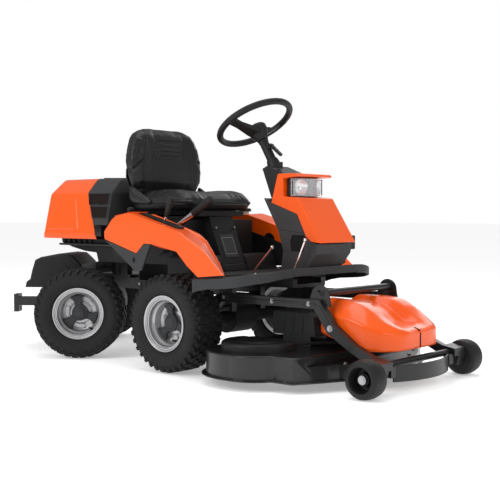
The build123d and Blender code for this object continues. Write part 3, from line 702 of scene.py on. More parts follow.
@dataclass
class Hood:
    """Rear hood with a pressed side panel, a raised top pad and the dark vent cover."""
    skin: float = 4.0
    levels: tuple[tuple[float, float, float, float, float], ...] = (
        (535, 298, -984, -1082, -524), (541, 300, -985, -1085, -522), (560, 300, -986, -1088, -523),
        (566, 296, -985, -1087, -524), (640, 280, -984, -1092, -526), (735, 260, -981, -1095, -526),
        (747, 256, -980, -1094, -527), (757, 246, -979, -1090, -530), (800, 190, -982, -1064, -550),
        (814, 170, -986, -1050, -560), (820, 150, -992, -1036, -570))
    round_count: int = 13

    def half_at(self, z: float) -> float:
        """Half width of the hood at a height.

        Args:
            z: the height in millimetres.

        Returns:
            The half width in millimetres.
        """
        rows = [(row[0], row[1]) for row in self.levels]
        for (low, first), (high, second) in zip(rows, rows[1:]):
            if low <= z <= high:
                return first + (second - first) * (z - low) / (high - low)
        return rows[-1][1]

    def ring(self, row: tuple[float, float, float, float, float], grow: float = 0.0) -> list[Vector]:
        """Plan outline of the hood at one height, rounded behind.

        Args:
            row: height, half width, start of the rounding, rear end and front end.
            grow: how far the outline is moved outwards.

        Returns:
            The outline's points.
        """
        z, half, corner, rear, front = row
        half, corner, rear, front = half + grow, corner - grow, rear - grow, front + grow
        points = [mm(front, -half, z), mm(-640, -half, z), mm(-760, -half, z), mm(-860, -half, z),
                  mm(corner + 40, -half, z)]
        for number in range(self.round_count):
            share = -1 + 2 * number / (self.round_count - 1)
            bow = (1 - abs(share) ** 2.4) ** 0.8
            points.append(mm(corner + (rear - corner) * bow, half * share * (0.985 + 0.015 * bow), z))
        points += [mm(corner + 40, half, z), mm(-860, half, z), mm(-760, half, z), mm(-640, half, z),
                   mm(front, half, z)]
        return points

    def shell(self) -> None:
        """The orange shell, cut away where the vent cover sits."""
        form = Form()
        form.loft([self.ring(row) for row in self.levels], caps=False)
        form.mesh.faces.new(form.mesh.verts[-len(self.ring(self.levels[0])):])
        form.outward().cut(mm(-700, 0, 752), JOINT_SLOPE)
        form.walled(self.skin)
        form.bevel(1.2, 2, 40)
        form.finish("hood_shell", ORANGE, "hood", ("hood",), 24, turn=False)

    def side_panels(self) -> None:
        """Raised trapezoid panels on both sides and the pad on top."""
        form = Form()
        outline = [(-955, 575), (-725, 575), (-775, 728), (-925, 728)]
        for side in Side:
            low, high = [], []
            for x, z in outline:
                half = self.half_at(z)
                low.append(mm(x, side.value * (half - 2), z))
                high.append(mm(x + (8 if x < -850 else -8), side.value * (half + 2.2),
                               z + (6 if z < 600 else -6)))
            form.loft([low, high])
        form.outward().bevel(2.0, 3, 12)
        form.finish("hood_side_panels", ORANGE, "hood", smooth=50)
        pad = Form()
        rows = []
        for rise, inset in ((-6, 0), (4, 6), (7, 22)):
            rows.append([mm(-960 + inset, -95 + inset * 0.6, 820 + rise * 0.3),
                         mm(-800 - inset * 0.4, -115 + inset * 0.6, 820 + rise * 0.3),
                         mm(-800 - inset * 0.4, 115 - inset * 0.6, 820 + rise * 0.3),
                         mm(-960 + inset, 95 - inset * 0.6, 820 + rise * 0.3)])
        pad.loft(rows).outward().bevel(3, 3, 8)
        pad.finish("hood_top_pad", ORANGE, "hood", smooth=60)


@dataclass
class VentCover:
    """Dark grey cover in front of the hood, with framed mesh openings on both sides."""
    skin: float = 4.0
    sunk: float = 1.0
    bottom: float = 600.0
    bar_width: float = 7.0

    def cover(self, hood: Hood) -> None:
        """The cover's skin, which follows the hood's section a little inside it.

        Args:
            hood: the hood it continues.
        """
        form = Form()
        form.loft([hood.ring(row, -self.sunk) for row in hood.levels], caps=False)
        form.mesh.faces.new(form.mesh.verts[-len(hood.ring(hood.levels[0])):])
        form.outward().cut(mm(-702, 0, 752), -JOINT_SLOPE)
        form.cut(mm(0, 0, self.bottom), Vector((0, 0, -1)))
        form.walled(self.skin)
        form.bevel(1.5, 2, 30)
        form.finish("vent_cover_shell", GREY, "hood", ("hood_vent",), 24, turn=False)

    def grilles(self, hood: Hood) -> None:
        """Frame bars standing off dark mesh, on both sides.

        Args:
            hood: the hood whose half width they follow.
        """
        bars, mesh = Form(), Form()
        openings = [[(-666, 696), (-540, 696), (-540, 744), (-688, 744)],
                    [(-634, 634), (-540, 634), (-540, 683), (-660, 683)]]
        for side in Side:
            for outline in openings:
                low = [mm(x, side.value * (hood.half_at(z) - 1.0), z) for x, z in outline]
                mesh.slab(low, mm(0, side.value * 1.2, 0))
                middle = sum(low, Vector()) / len(low)
                outer = [p + (p - middle).normalized() * self.bar_width * MM for p in low]
                lift = mm(0, side.value * 3.0, 0)
                for a, b, c, d in zip(low, low[1:] + low[:1], outer[1:] + outer[:1], outer):
                    bars.slab([a, b, c, d], lift)
        bars.outward().bevel(1.0, 2, 40)
        bars.finish("vent_frames", GREY, "hood", smooth=50)
        mesh.finish("vent_mesh", PAINTS.grille(), "hood", slot="black_plastic")

    def top_ribs(self) -> None:
        """Fins across the cover's sloping top."""
        form = Form()
        for number in range(7):
            x = -735 + number * 24
            form.block(mm(x, 0, 822 - number * 0.5), mm(7, 250 - number * 6, 6))
        form.bevel(1.5, 2, 40)
        form.finish("vent_top_fins", GREY, "hood", smooth=50)


@dataclass
class RearCover:
    """Moulded rear module cover with a stepped inner panel on each side."""
    outline: tuple[tuple[float, float], ...] = (
        (-430, 303), (-424, 330), (-406, 343), (-398, 380), (-382, 433), (-354, 447), (-255, 459),
        (-208, 455), (-180, 430), (-161, 410), (-161, 303))
    half: float = 200.0

    def build(self) -> None:
        """Shell block with bevelled edges and raised inner panels."""
        form = Form()
        form.slab(side_view(self.outline, -self.half), mm(0, 2 * self.half, 0))
        form.outward().bevel(9.0, 3, 20, lambda e: abs(e.verts[0].co.y - e.verts[1].co.y) < 1e-4)
        form.finish("rear_cover_shell", BLACK, "rear_module", ("rear_cover",), 32, place=REAR)
        steps = Form()
        panel = [(-402, 318), (-392, 352), (-384, 385), (-366, 420), (-346, 428), (-255, 440), (-214, 436),
                 (-184, 404), (-184, 318)]
        inner = [(-352, 330), (-344, 392), (-330, 404), (-262, 414), (-236, 410), (-214, 388), (-214, 330)]
        for side in Side:
            for points, depth in ((panel, 4.0), (inner, 7.0)):
                steps.slab(side_view(points, side.value * (self.half - 2)), mm(0, side.value * depth, 0))
        steps.outward().bevel(2.5, 3, 30)
        steps.finish("rear_cover_panels", BLACK, "rear_module", smooth=50, place=REAR)


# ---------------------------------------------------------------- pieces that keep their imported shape
@dataclass(frozen=True)
class Dress:
    """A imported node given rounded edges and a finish."""
    node: str
    finish: Finish
    width: float = 1.5
    segments: int = 2
    body: str = "chassis"

    def build(self) -> None:
        """Copy the node, round its edges and finish it."""
        form = Form.copy_of(self.node)
        form.bevel(self.width, self.segments, 30)
        form.finish(f"{self.node}_dressed", self.finish, self.body, (self.node,), 34)


DRESSED = (
    Dress("main_frame", FRAME_PAINT, 2.0),
    Dress("front_transaxle", CAST, 6.0, 3),
    Dress("rear_transaxle", CAST, 6.0, 3, body="rear_module"),
    Dress("engine_bed", FRAME_PAINT),
    Dress("engine", ALLOY, 3.0, 3),
    Dress("battery", BLACK, 3.0),
    Dress("fuel_tank", TANK, 4.0, 3),
    Dress("lever_panel", BLACK, 1.0),
    Dress("seat_bracket", FRAME_PAINT, body="seat_carrier"),
    Dress("seat_tower", BLACK, 6.0, 3),
    Dress("floor_mat", RUBBER, 1.2),
    Dress("headlight_housing", BLACK, 2.0),
    Dress("rear_carrier", FRAME_PAINT, 2.0, body="rear_module"),
    Dress("tow_hitch", FRAME_PAINT, 2.5, body="rear_module"),
    Dress("equipment_frame", FRAME_PAINT, 3.0, 3, body="equipment_frame"),
    Dress("front_bumper", FRAME_PAINT, 1.5, body="equipment_frame"),
    Dress("deck_belt", RUBBER, 1.5, body="deck"),
    Dress("ignition_key", BLACK, 1.2, body="ignition_key"),
    Dress("column_lever", BLACK, 3.0, 3, body="column_lever"),
    Dress("support_axles", STEEL, 2.0, body="equipment_frame"),
    Dress("brake_pedal", RUBBER, 3.0, 3, body="brake_pedal"),
)


@dataclass
class Fenders:
    """Both orange fenders, their trims, the panel behind the levers and the fuel cap."""
    outer_y: float = 440.0
    inner_y: float = 303.0
    shoulder: float = 16.0
    stations: tuple[float, ...] = (0.0, 0.14, 0.34, 0.56, 0.78, 1.0)
    outer: tuple[tuple[float, float], ...] = (
        (-370, 545), (-373, 575), (-313, 637), (-218, 656), (97, 576), (224, 510), (335, 415), (195, 402),
        (135, 444), (75, 500), (-77, 527), (-118, 528), (-163, 487))
    inner: tuple[tuple[float, float], ...] = (
        (-350, 560), (-352, 590), (-313, 640), (-205, 650), (23, 582), (110, 535), (215, 402), (170, 402),
        (120, 440), (30, 470), (-77, 495), (-118, 500), (-163, 505))

    def shells(self) -> None:
        """Fender shells with a full shoulder along the outer edge, open below."""
        for side in Side:
            form = Form()
            rows = []
            for share in self.stations:
                section = [(x0 + (x1 - x0) * share, z0 + (z1 - z0) * share)
                           for (x0, z0), (x1, z1) in zip(self.outer, self.inner)]
                rows.append(side_view(section,
                                      side.value * (self.outer_y + (self.inner_y - self.outer_y) * share)))
            form.loft(rows)
            form.outward()
            form.bevel(16.0, 4, 6, lambda e: abs(e.verts[0].co.y - e.verts[1].co.y) > 0.01
                       and all(f.normal.z > 0.2 and abs(f.normal.y) < 0.8 for f in e.link_faces))
            limit = (self.outer_y - 0.5) * MM
            form.bevel(self.shoulder, 5, 25, lambda e: all(abs(v.co.y) > limit for v in e.verts)
                       and any(f.normal.z > 0.3 or f.normal.x < -0.8 for f in e.link_faces))
            low = [f for f in form.mesh.faces if f.normal.z < -0.15 and abs(f.normal.y) < 0.5]
            bmesh.ops.delete(form.mesh, geom=low, context="FACES")
            bmesh.ops.triangulate(form.mesh, faces=[f for f in form.mesh.faces if abs(f.normal.y) < 0.9])
            form.walled(4.0)
            form.bevel(1.0, 2, 60)
            form.finish(f"fender_{side.word}_shell", ORANGE, "chassis", (f"fender_{side.word}",), 30,
                        turn=False)

    def ridges(self) -> None:
        """Raised rib along the inner edge of each fender's top."""
        for side in Side:
            form = Form()
            rows = []
            path = [(-196, 647.5), (-90, 616), (23, 582), (70, 561), (110, 535), (146, 490), (180, 447),
                    (211, 407)]
            for number, (x, z) in enumerate(path):
                before, after = path[max(number - 1, 0)], path[min(number + 1, len(path) - 1)]
                slope = math.atan2(after[1] - before[1], after[0] - before[0])
                lift = 2.0 if number in (0, len(path) - 1) else (4.0 if x < 40 else 9.0)
                rise_x, rise_z = -math.sin(slope), math.cos(slope)
                rows.append([mm(x + rise_x * h, side.value * y, z + rise_z * h)
                             for y, h in ((302.5, -6), (302.5, lift - 2), (305, lift), (316, lift),
                                          (328, -1), (328, -6))])
            form.loft(rows).outward().bevel(2.5, 3, 30)
            form.finish(f"fender_{side.word}_ridge", ORANGE, "chassis", smooth=50)

    def trims(self) -> None:
        """Dark lower trims with their oval holes."""
        form = Form.copy_of("fender_trims")
        form.bevel(2.5, 3, 30)
        form.finish("fender_trims_moulded", GREY, "chassis", ("fender_trims",), 34)
        # The oval holes are flat near-black discs on the trim: painted shade of the holes' depth.
        hole = Form()
        for side in Side:
            y = side.value * (self.outer_y - 0.5)
            ring = [mm(-178 + 7.5 * math.cos(a), y, 458 + 11 * math.sin(a))
                    for a in (math.tau * k / 20 for k in range(20))]
            hole.slab(ring, mm(0, side.value * 0.9, 0))
        hole.finish("trim_hole_shade", RECESS_SHADE_AND_SEAM, "chassis")

    def rear_panel(self) -> None:
        """Dark panel round the throttle with its raised orange rim and two blank plates."""
        def at(x: float, y: float, lift: float) -> Vector:
            """Point over the fender's rear top."""
            return mm(x, y, 637.5 + (x + 313) * 0.176 + lift)
        outline = [(-306, -420), (-228, -420), (-222, -392), (-222, -330), (-306, -326), (-314, -350),
                   (-314, -405)]
        panel = Form()
        panel.slab([at(x, y, -2.0) for x, y in outline], mm(0, 0, 5.5))
        panel.outward().bevel(1.5, 2, 30)
        panel.finish("throttle_panel", BLACK, "chassis", smooth=50)
        rim = Form()
        middle = Vector((-266, -372))
        grown = [middle + (Vector(p) - middle) * 1.13 for p in outline]
        for number in range(len(outline)):
            other = (number + 1) % len(outline)
            quad = [at(*outline[number], -3), at(*outline[other], -3), at(*grown[other], -3),
                    at(*grown[number], -3)]
            rim.slab(quad, mm(0, 0, 8.5))
        rim.outward().bevel(1.6, 2, 35)
        rim.finish("throttle_panel_rim", ORANGE, "chassis", smooth=50)
        plates = Form()
        for x, y, length, width in ((-292, -398, 18, 28), (-292, -346, 18, 22), (-246, -402, 26, 20)):
            plates.slab([at(x - length / 2, y - width / 2, 3.4), at(x + length / 2, y - width / 2, 3.4),
                         at(x + length / 2, y + width / 2, 3.4), at(x - length / 2, y + width / 2, 3.4)],
                        mm(0, 0, 0.8))
        plates.finish("throttle_blank_plates", TANK, "chassis")

    def slot_frame(self) -> None:
        """Black surround of the long lever slot."""
        form = Form()

        def at(x: float, y: float, lift: float) -> Vector:
            """Point over the fender's long top."""
            return mm(x, y, 656 - (x + 218) * 0.254 + lift)
        outer = [(-200, -386), (18, -386), (26, -378), (26, -346), (18, -338), (-200, -338), (-208, -346),
                 (-208, -378)]
        inner = [(-184, -376), (2, -376), (4, -374), (4, -350), (2, -348), (-184, -348), (-186, -350),
                 (-186, -374)]
        for number in range(len(outer)):
            other = (number + 1) % len(outer)
            form.slab([at(*outer[number], -5), at(*outer[other], -5), at(*inner[other], -5),
                       at(*inner[number], -5)], mm(0, 0, 7.0))
        form.outward().bevel(1.2, 2, 35)
        form.finish("lever_slot_frame", BLACK, "chassis", smooth=50)
        # Near-black sheet down inside the slot: painted shade of the slot's depth.
        floor = Form()
        floor.slab([at(*point, -4.5) for point in inner], mm(0, 0, 5.4))
        floor.finish("lever_slot_shade", RECESS_SHADE_AND_SEAM, "chassis")

    def fuel_cap(self) -> None:
        """Ribbed fuel cap."""
        form = Form()
        form.spun([(0, 0), (0, 29), (3, 30), (12, 29), (15, 27), (17, 22), (16, 16), (16, 0)],
                  mm(-270, 371, 662.5), Vector((0, 0, 1)), 48, closed=False)
        for number in range(24):
            turn = Matrix.Rotation(math.tau * number / 24, 4, "Z")
            form.block(mm(-270, 371, 670) + turn @ mm(29.2, 0, 0), mm(1.6, 3, 10), turn)
        form.finish("fuel_cap_moulded", BLACK, "fuel_cap", ("fuel_cap",))

    def build(self) -> None:
        """Make every piece of the fenders."""
        self.shells()
        self.ridges()
        self.trims()
        self.rear_panel()
        self.slot_frame()
        self.fuel_cap()


# ---------------------------------------------------------------- seat
@dataclass
class Seat:
    """Padded cushion and backrest, blown up as sewn covers and then channelled."""
    voxel: float = 0.006
    cushion_cap: float = 7.0
    back_cap: float = 7.0
    grooves: tuple[float, ...] = (993.0, 969.0, 945.0, 922.0)

    @staticmethod
    def between(table: Sequence[tuple[float, ...]], key: float, column: int) -> float:
        """Read a column of a sorted table at a key.

        Args:
            table: rows sorted by their first number.
            key: where it is read.
            column: which number of the row.

        Returns:
            The value between the two nearest rows.
        """
        for low, high in zip(table, table[1:]):
            if low[0] <= key <= high[0]:
                share = (key - low[0]) / (high[0] - low[0])
                return low[column] + (high[column] - low[column]) * share
        return table[-1][column]

    def backrest_form(self) -> Form:
        """Backrest core: rings up the height, thicker at the wings."""
        table = [(712, 186, -432, -446), (730, 205, -427, -452), (760, 214, -424, -458),
                 (800, 226, -410, -468),
                 (850, 232, -409, -480), (900, 229, -411, -493), (960, 214, -418, -499),
                 (1000, 198, -424, -500),
                 (1025, 178, -432, -501), (1042, 148, -444, -499), (1052, 112, -456, -494)]
        rows = []
        for z, half, front, back in table:
            ring = []
            for number in range(17):
                share = -1 + number / 8
                wing = max(0.0, abs(share) - 0.55) / 0.45
                forward = 6 * math.sin(min(wing * 1.4, 1.0) * math.pi / 2) - 26 * max(0.0,
                                                                                      wing - 0.72) / 0.28
                ring.append(mm(max(back + 6, front - 2 + forward), half * share, z))
            for number in range(9):
                share = 1 - number / 4
                ring.append(mm(back + 8 * abs(share) ** 3, half * share * 0.97, z))
            rows.append(ring)
        form = Form().loft(rows)
        return form.outward()

    def cushion_form(self) -> Form:
        """Cushion core: sections along X, crowned, with side bolsters."""
        table = [(-416, 222, 690, 735), (-395, 228, 688, 744), (-330, 231, 688, 752), (-250, 232, 688, 755),
                 (-170, 231, 688, 753), (-120, 226, 688, 744), (-95, 217, 689, 733), (-76, 204, 692, 718)]
        rows = []
        for x, half, low, high in table:
            ring = []
            for number in range(13):
                share = -1 + number / 6
                bolster = math.exp(-((abs(share) - 0.72) / 0.2) ** 2)
                edge = max(0.0, abs(share) - 0.86) / 0.14
                top = high - 8 + 7 * bolster - (high - low) * 0.42 * edge ** 1.6
                ring.append(mm(x, half * share, top))
            for number in range(9):
                share = 1 - number / 4
                ring.append(mm(x, half * share * 0.96, low))
            rows.append(ring)
        form = Form().loft(rows)
        return form.outward()

    def puff(self, piece: bpy.types.Object, cap: float) -> None:
        """Remesh the piece and blow it up as a cloth, no point moving further than cap millimetres.

        Args:
            piece: the piece.
            cap: the limit in millimetres.
        """
        remesh = piece.modifiers.new("remesh", "REMESH")
        remesh.mode, remesh.voxel_size = "VOXEL", self.voxel
        self.apply(piece)
        start = [vert.co.copy() for vert in piece.data.vertices]
        cloth = piece.modifiers.new("cloth", "CLOTH")
        cloth.settings.use_pressure = True
        cloth.settings.uniform_pressure_force = 4.0
        cloth.settings.effector_weights.gravity = 0.0
        cloth.settings.quality = 4
        scene = bpy.context.scene
        for number in range(1, 21):
            scene.frame_set(number)
        self.apply(piece)
        scene.frame_set(1)
        for vert, old in zip(piece.data.vertices, start):
            step = vert.co - old
            if step.length > cap * MM:
                vert.co = old + step.normalized() * cap * MM

    @staticmethod
    def apply(piece: bpy.types.Object) -> None:
        """Replace the piece's mesh with its evaluated one.

        Args:
            piece: the piece.
        """
        graph = bpy.context.evaluated_depsgraph_get()
        graph.update()
        old = piece.data
        fresh = bpy.data.meshes.new_from_object(piece.evaluated_get(graph))
        piece.modifiers.clear()
        piece.data = fresh
        bpy.data.meshes.remove(old)

    def sew(self, piece: bpy.types.Object, depth_at: Callable[[Vector], float]) -> None:
        """Subdivide once and sink the surface along its normals by depth_at, in millimetres.

        Args:
            piece: the piece.
            depth_at: depth for a place in millimetres.
        """
        form = bmesh.new()
        form.from_mesh(piece.data)
        bmesh.ops.smooth_vert(form, verts=form.verts, factor=0.5, use_axis_x=True, use_axis_y=True,
                              use_axis_z=True)
        bmesh.ops.subdivide_edges(form, edges=form.edges, cuts=1, use_grid_fill=True, smooth=0.0)
        bmesh.ops.smooth_vert(form, verts=form.verts, factor=0.5, use_axis_x=True, use_axis_y=True,
                              use_axis_z=True)
        bmesh.ops.recalc_face_normals(form, faces=form.faces)
        form.normal_update()
        moves = [(vert, vert.normal * -depth_at(vert.co / MM) * MM) for vert in form.verts]
        for vert, move in moves:
            vert.co += move
        for face in form.faces:
            face.smooth = True
        form.to_mesh(piece.data)
        form.free()

    def back_depth(self, at: Vector) -> float:
        """Channels of the backrest: four cross grooves, panel seams and wing folds.

        Args:
            at: the place in millimetres.

        Returns:
            How far the surface is drawn in there, in millimetres.
        """
        depth = 0.0
        if at.x > -462:
            half = 66 + (at.z - 900) * 0.12
            inside = 1 / (1 + math.exp((abs(at.y) - half) / 2.5))
            for z in self.grooves:
                depth += 7.0 * inside * math.exp(-((at.z - z) / 4.2) ** 2)
            pad = math.exp(-((abs(at.y) - half - 12) / 3.5) ** 2) * (1 if 905 < at.z < 1010 else 0)
            depth += 2.0 * pad
            seam = 128 + (at.z - 850) * 0.03
            depth += 4.5 * math.exp(-((abs(at.y) - seam) / 4.0) ** 2) * min(1.0,
                                                                            max(0.0, (at.z - 800) / 60))
            fold = (abs(at.y) - 232) + (at.z - 905) * 0.9 + 60
            depth += 8.0 * math.exp(-(fold / 9.0) ** 2) * (1 if 790 < at.z < 905 and abs(at.y) > 120 else 0)
        depth += 2.5 * math.exp(-((at.x + 468) / 3.0) ** 2)
        return depth

    def tub(self) -> None:
        """Moulded tub under the cushion, whose rear rises behind the backrest's foot."""
        form = Form()
        rows = []
        for z, grow in ((665.8, -26), (669, -8), (678, 0), (692, 6), (697, 3), (697, -8)):
            ring = []
            for number in range(28):
                angle = math.tau * number / 28
                ring.append(mm(-268 + (192 + grow) * math.copysign(abs(math.cos(angle)) ** 0.42,
                                                                   math.cos(angle)),
                               (222 + grow) * math.copysign(abs(math.sin(angle)) ** 0.34,
                                                            math.sin(angle)), z))
            rows.append(ring)
        form.loft(rows)
        form.outward()
        form.finish("seat_tub", BLACK, "seat", ("seat_pan",), 50)
        back = Form()
        rows = []
        for z, half, x in ((690, 186, -452), (720, 205, -462), (770, 214, -474), (820, 219, -490),
                           (858, 205, -504)):
            rows.append([mm(x + 14 * (share * share), half * share, z)
                         for share in (-1, -0.75, -0.5, -0.25, 0, 0.25, 0.5, 0.75, 1)])
        back.loft(rows, caps=False, ring=False)
        back.walled(5.0)
        back.bevel(1.5, 2, 50)
        back.finish("seat_back_shell", BLACK, "seat", smooth=50, turn=False)
        wings = Form()
        for side in Side:
            rows = []
            for x, low, high in ((-446, 700, 792), (-420, 692, 776), (-380, 688, 752), (-330, 688, 726),
                                 (-300, 690, 708)):
                y = side.value
                rows.append([mm(x, y * 208, low), mm(x, y * 231, low + 4), mm(x, y * 236, (low + high) / 2),
                             mm(x, y * 231, high - 6), mm(x, y * 218, high), mm(x, y * 206, high - 10)])
            wings.loft(rows)
        wings.outward()
        wings.finish("seat_side_bolsters", VINYL, "seat", smooth=70, levels=1)

    @staticmethod
    def cushion_depth(at: Vector) -> float:
        """Channels of the cushion: bolster seams, a cross seam and the piped edge.

        Args:
            at: the place in millimetres.

        Returns:
            How far the surface is drawn in there, in millimetres.
        """
        depth = 0.0
        if at.z > 715:
            depth += 5.0 * math.exp(-((abs(at.y) - 138) / 4.5) ** 2)
            depth += 4.0 * math.exp(-((at.x + 150 + abs(at.y) * 0.12) / 4.5) ** 2) * (abs(at.y) < 140)
        depth += 2.5 * math.exp(-((at.z - 712) / 3.0) ** 2)
        return depth

    def build(self) -> None:
        """Make the cushion and the backrest."""
        cushion = self.cushion_form().finish("seat_cushion_cover", VINYL, "seat", ("seat_cushion",),
                                             turn=False)
        self.puff(cushion, self.cushion_cap)
        self.sew(cushion, self.cushion_depth)
        back = self.backrest_form().finish("seat_backrest_cover", VINYL, "seat", ("seat_backrest",),
                                           turn=False)
        self.puff(back, self.back_cap)
        self.sew(back, self.back_depth)
        for piece in (cushion, back):
            piece.data.materials.clear()
            piece.data.materials.append(PAINTS.of(VINYL))
        self.tub()
        form = Form()
        for number in range(5):
            half = 150 - (number % 2) * 8
            form.block(mm(-270, 0, 655 + number * 2.4), mm(2 * half, 2 * half * 0.9, 2.6))
        form.block(mm(-275, 0, 640), mm(240, 300, 27))
        form.block(mm(-113, 0, 653), mm(26, 330, 24))
        form.finish("seat_bellows", RUBBER, "seat_carrier")


# ---------------------------------------------------------------- steering and console
@dataclass
class Steering:
    """Steering wheel with its two flat spokes and coned hub, the column and its collar."""
    rim_r: float = 162.0
    tube_r: float = 14.0

    @staticmethod
    def at(along: float, forward: float, y: float) -> Vector:
        """Point in the wheel's own plane; along runs down the column."""
        ahead = Vector((math.cos(RAKE), 0.0, math.sin(RAKE)))
        return WHEEL_CENTRE - COLUMN_UP * along * MM + ahead * forward * MM + Vector((0, y * MM, 0))

    def wheel(self) -> None:
        """Rim, spokes and hub."""
        form = Form()
        tube = [(y, x) for x, y in arc((self.rim_r, 0.0), self.tube_r, 0, 337.5, 16)]
        form.spun(tube, WHEEL_CENTRE, COLUMN_UP, 96)
        for side in Side:
            stations = ((30, 50, 33, 13), (60, 44, 29, 9), (110, 22, 21, 7), (150, 4, 22, 7))
            rows = []
            for reach, sink, half, thick in stations:
                y = side.value * reach
                rows.append([self.at(sink - thick, -half, y), self.at(sink - thick - 3, 0, y),
                             self.at(sink - thick, half, y), self.at(sink + thick, half * 0.8, y),
                             self.at(sink + thick, -half * 0.8, y)])
            form.loft(rows)
        form.spun([(-14, 0), (-14, 27), (-17, 35), (-24, 40), (-50, 40), (-64, 36), (-82, 26), (-90, 24),
                   (-90, 0)],
                  WHEEL_CENTRE, COLUMN_UP, 48, closed=False)
        form.outward().bevel(3.0, 3, 35)
        form.finish("steering_wheel_moulded", RUBBER, "steering_wheel", ("steering_wheel",), 40,
                    slot="black_plastic", turn=False)
        shaft = Form()
        shaft.rod(self.at(68, 0, 0), self.at(300, 0, 0), 9.8 * MM, sides=24)
        shaft.finish("steering_shaft", STEEL, "steering_wheel")

    def column(self) -> None:
        """Column tube with a collar, a gaiter at the dash and the clamp's boss."""
        form = Form()
        form.spun([(-92, 10.4), (-92, 21), (-94, 22), (-100, 22), (-103, 20), (-186, 20), (-188, 24),
                   (-200, 27),
                   (-230, 30), (-240, 30), (-240, 10.4)], WHEEL_CENTRE, COLUMN_UP, 40)
        form.bevel(1.0, 2, 35)
        form.finish("steering_column_tube", BLACK, "chassis", ("steering_column",), 38, slot="steel_black")
        boss = Form()
        boss.rod(mm(198, -14, 940), mm(198, 14, 940), 11 * MM, sides=24)
        boss.rod(mm(198, -19, 940), mm(198, 19, 940), 5 * MM, sides=6)
        boss.bevel(1.0, 2, 40)
        boss.finish("column_clamp_boss", FRAME_PAINT, "chassis", slot="steel")


@dataclass
class Console:
    """Console base, orange cover with its visor, dash and headlight."""
    half: float = 118.0

    def shells(self) -> None:
        """Base, cover and dash with full rounded corners."""
        limit = (self.half - 0.5) * MM
        cover = Form.copy_of("console_cover")
        cover.bevel(26.0, 3, 25, lambda e: all(abs(v.co.y) > limit for v in e.verts)
                    and any(f.normal.x > 0.6 or f.normal.z > 0.9 for f in e.link_faces))
        cover.bevel(1.2, 2, 40)
        cover.finish("console_cover_shell", ORANGE, "chassis", ("console_cover",), 30)
        base = Form.copy_of("console_base")
        base.bevel(9.0, 4, 25, lambda e: all(abs(v.co.y) > limit for v in e.verts))
        base.finish("console_base_shell", GREY, "chassis", ("console_base",), 30)
        dash = Form.copy_of("dash_panel")
        dash.bevel(6.0, 4, 25)
        dash.finish("dash_panel_shell", BLACK, "chassis", ("dash_panel",), 30)

    def seams(self) -> None:
        """Part lines on the base's sides, and the cup in its face as a near-black sheet of painted shade.
        """
        form = Form()
        for side in Side:
            y = side.value * self.half
            for low, high in (((352, 586), (472, 572)), ((366, 503), (400, 499))):
                (x1, z1), (x2, z2) = low, high
                form.slab([mm(x1, y - 0.3, z1), mm(x2, y - 0.3, z2), mm(x2, y - 0.3, z2 + 1.6),
                           mm(x1, y - 0.3, z1 + 1.6)], mm(0, 0.6, 0))
        form.finish("console_seams", RECESS_SHADE_AND_SEAM, "chassis")
        # The cup is a flat near-black sheet on each side: painted shade of the cup's hollow.
        pocket = Form()
        for side in Side:
            y = side.value * (self.half + 0.2)
            pocket.slab([mm(408, y, 500), mm(470, y, 500), mm(482, y, 552), mm(470, y, 566),
                         mm(412, y, 566),
                         mm(402, y, 540)], mm(0, side.value * 0.6, 0))
        pocket.finish("console_pocket_shade", RECESS_SHADE_AND_SEAM, "chassis")

    def headlight(self) -> None:
        """Two reflector bowls and a dark divider behind the clear lens."""
        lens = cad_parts["headlight_lens"]
        lens.data.materials.clear()
        lens.data.materials.append(PAINTS.glass())
        bowl, dark = Form(), Form()
        for side in Side:
            bowl.spun([(0, 4), (2, 14), (8, 24), (15, 29), (16, 31), (12, 31), (0, 22), (-2, 4)],
                      mm(397, side.value * 54, 759), Vector((0.94, side.value * 0.34, 0)).normalized(), 40)
            dark.block(mm(398, side.value * 99, 759), mm(5, 3, 62))
        dark.block(mm(408, 0, 759), mm(30, 30, 66))
        dark.block(mm(398, 0, 791), mm(12, 196, 3))
        bowl.finish("headlight_reflectors", MIRROR, "chassis")
        dark.outward().bevel(2.0, 2, 40)
        dark.finish("headlight_divider", BLACK, "chassis")

    def build(self) -> None:
        """Make every piece of the console."""
        self.shells()
        self.seams()
        self.headlight()


# ---------------------------------------------------------------- controls
@dataclass(frozen=True)
class Lever:
    """A rod or bar ending in a moulded grip."""
    node: str
    start: Point
    end: Point
    rod_r: float
    grip: tuple[tuple[float, float], ...]
    grip_finish: Finish
    rod_finish: Finish = CHROME
    flat: float = 1.0

    def build(self) -> None:
        """Make the rod and its grip; grip rows are (share of the length, radius)."""
        first, last = mm(*self.start), mm(*self.end)
        heading = (last - first).normalized()
        length = (last - first).length / MM
        rod, grip = Form(), Form()
        made = rod.rod(first, first + heading * (length * (self.grip[0][0] + 0.02)) * MM, self.rod_r * MM,
                       sides=28)
        if self.flat != 1.0:
            for vert in made:
                vert.co.y = first.y + (vert.co.y - first.y) * self.flat
        rod.bevel(0.8, 2, 50)
        rod.finish(f"{self.node}_rod", self.rod_finish, self.node, (self.node,), 40, slot="chrome")
        profile = [(self.grip[0][0] * length, 0.0)] + [(s * length, r) for s, r in self.grip]
        profile.append((self.grip[-1][0] * length, 0.0))
        grip.spun(profile, first, heading, 32, closed=False)
        grip.finish(f"{self.node}_grip", self.grip_finish, self.node, smooth=50, slot="black_plastic")


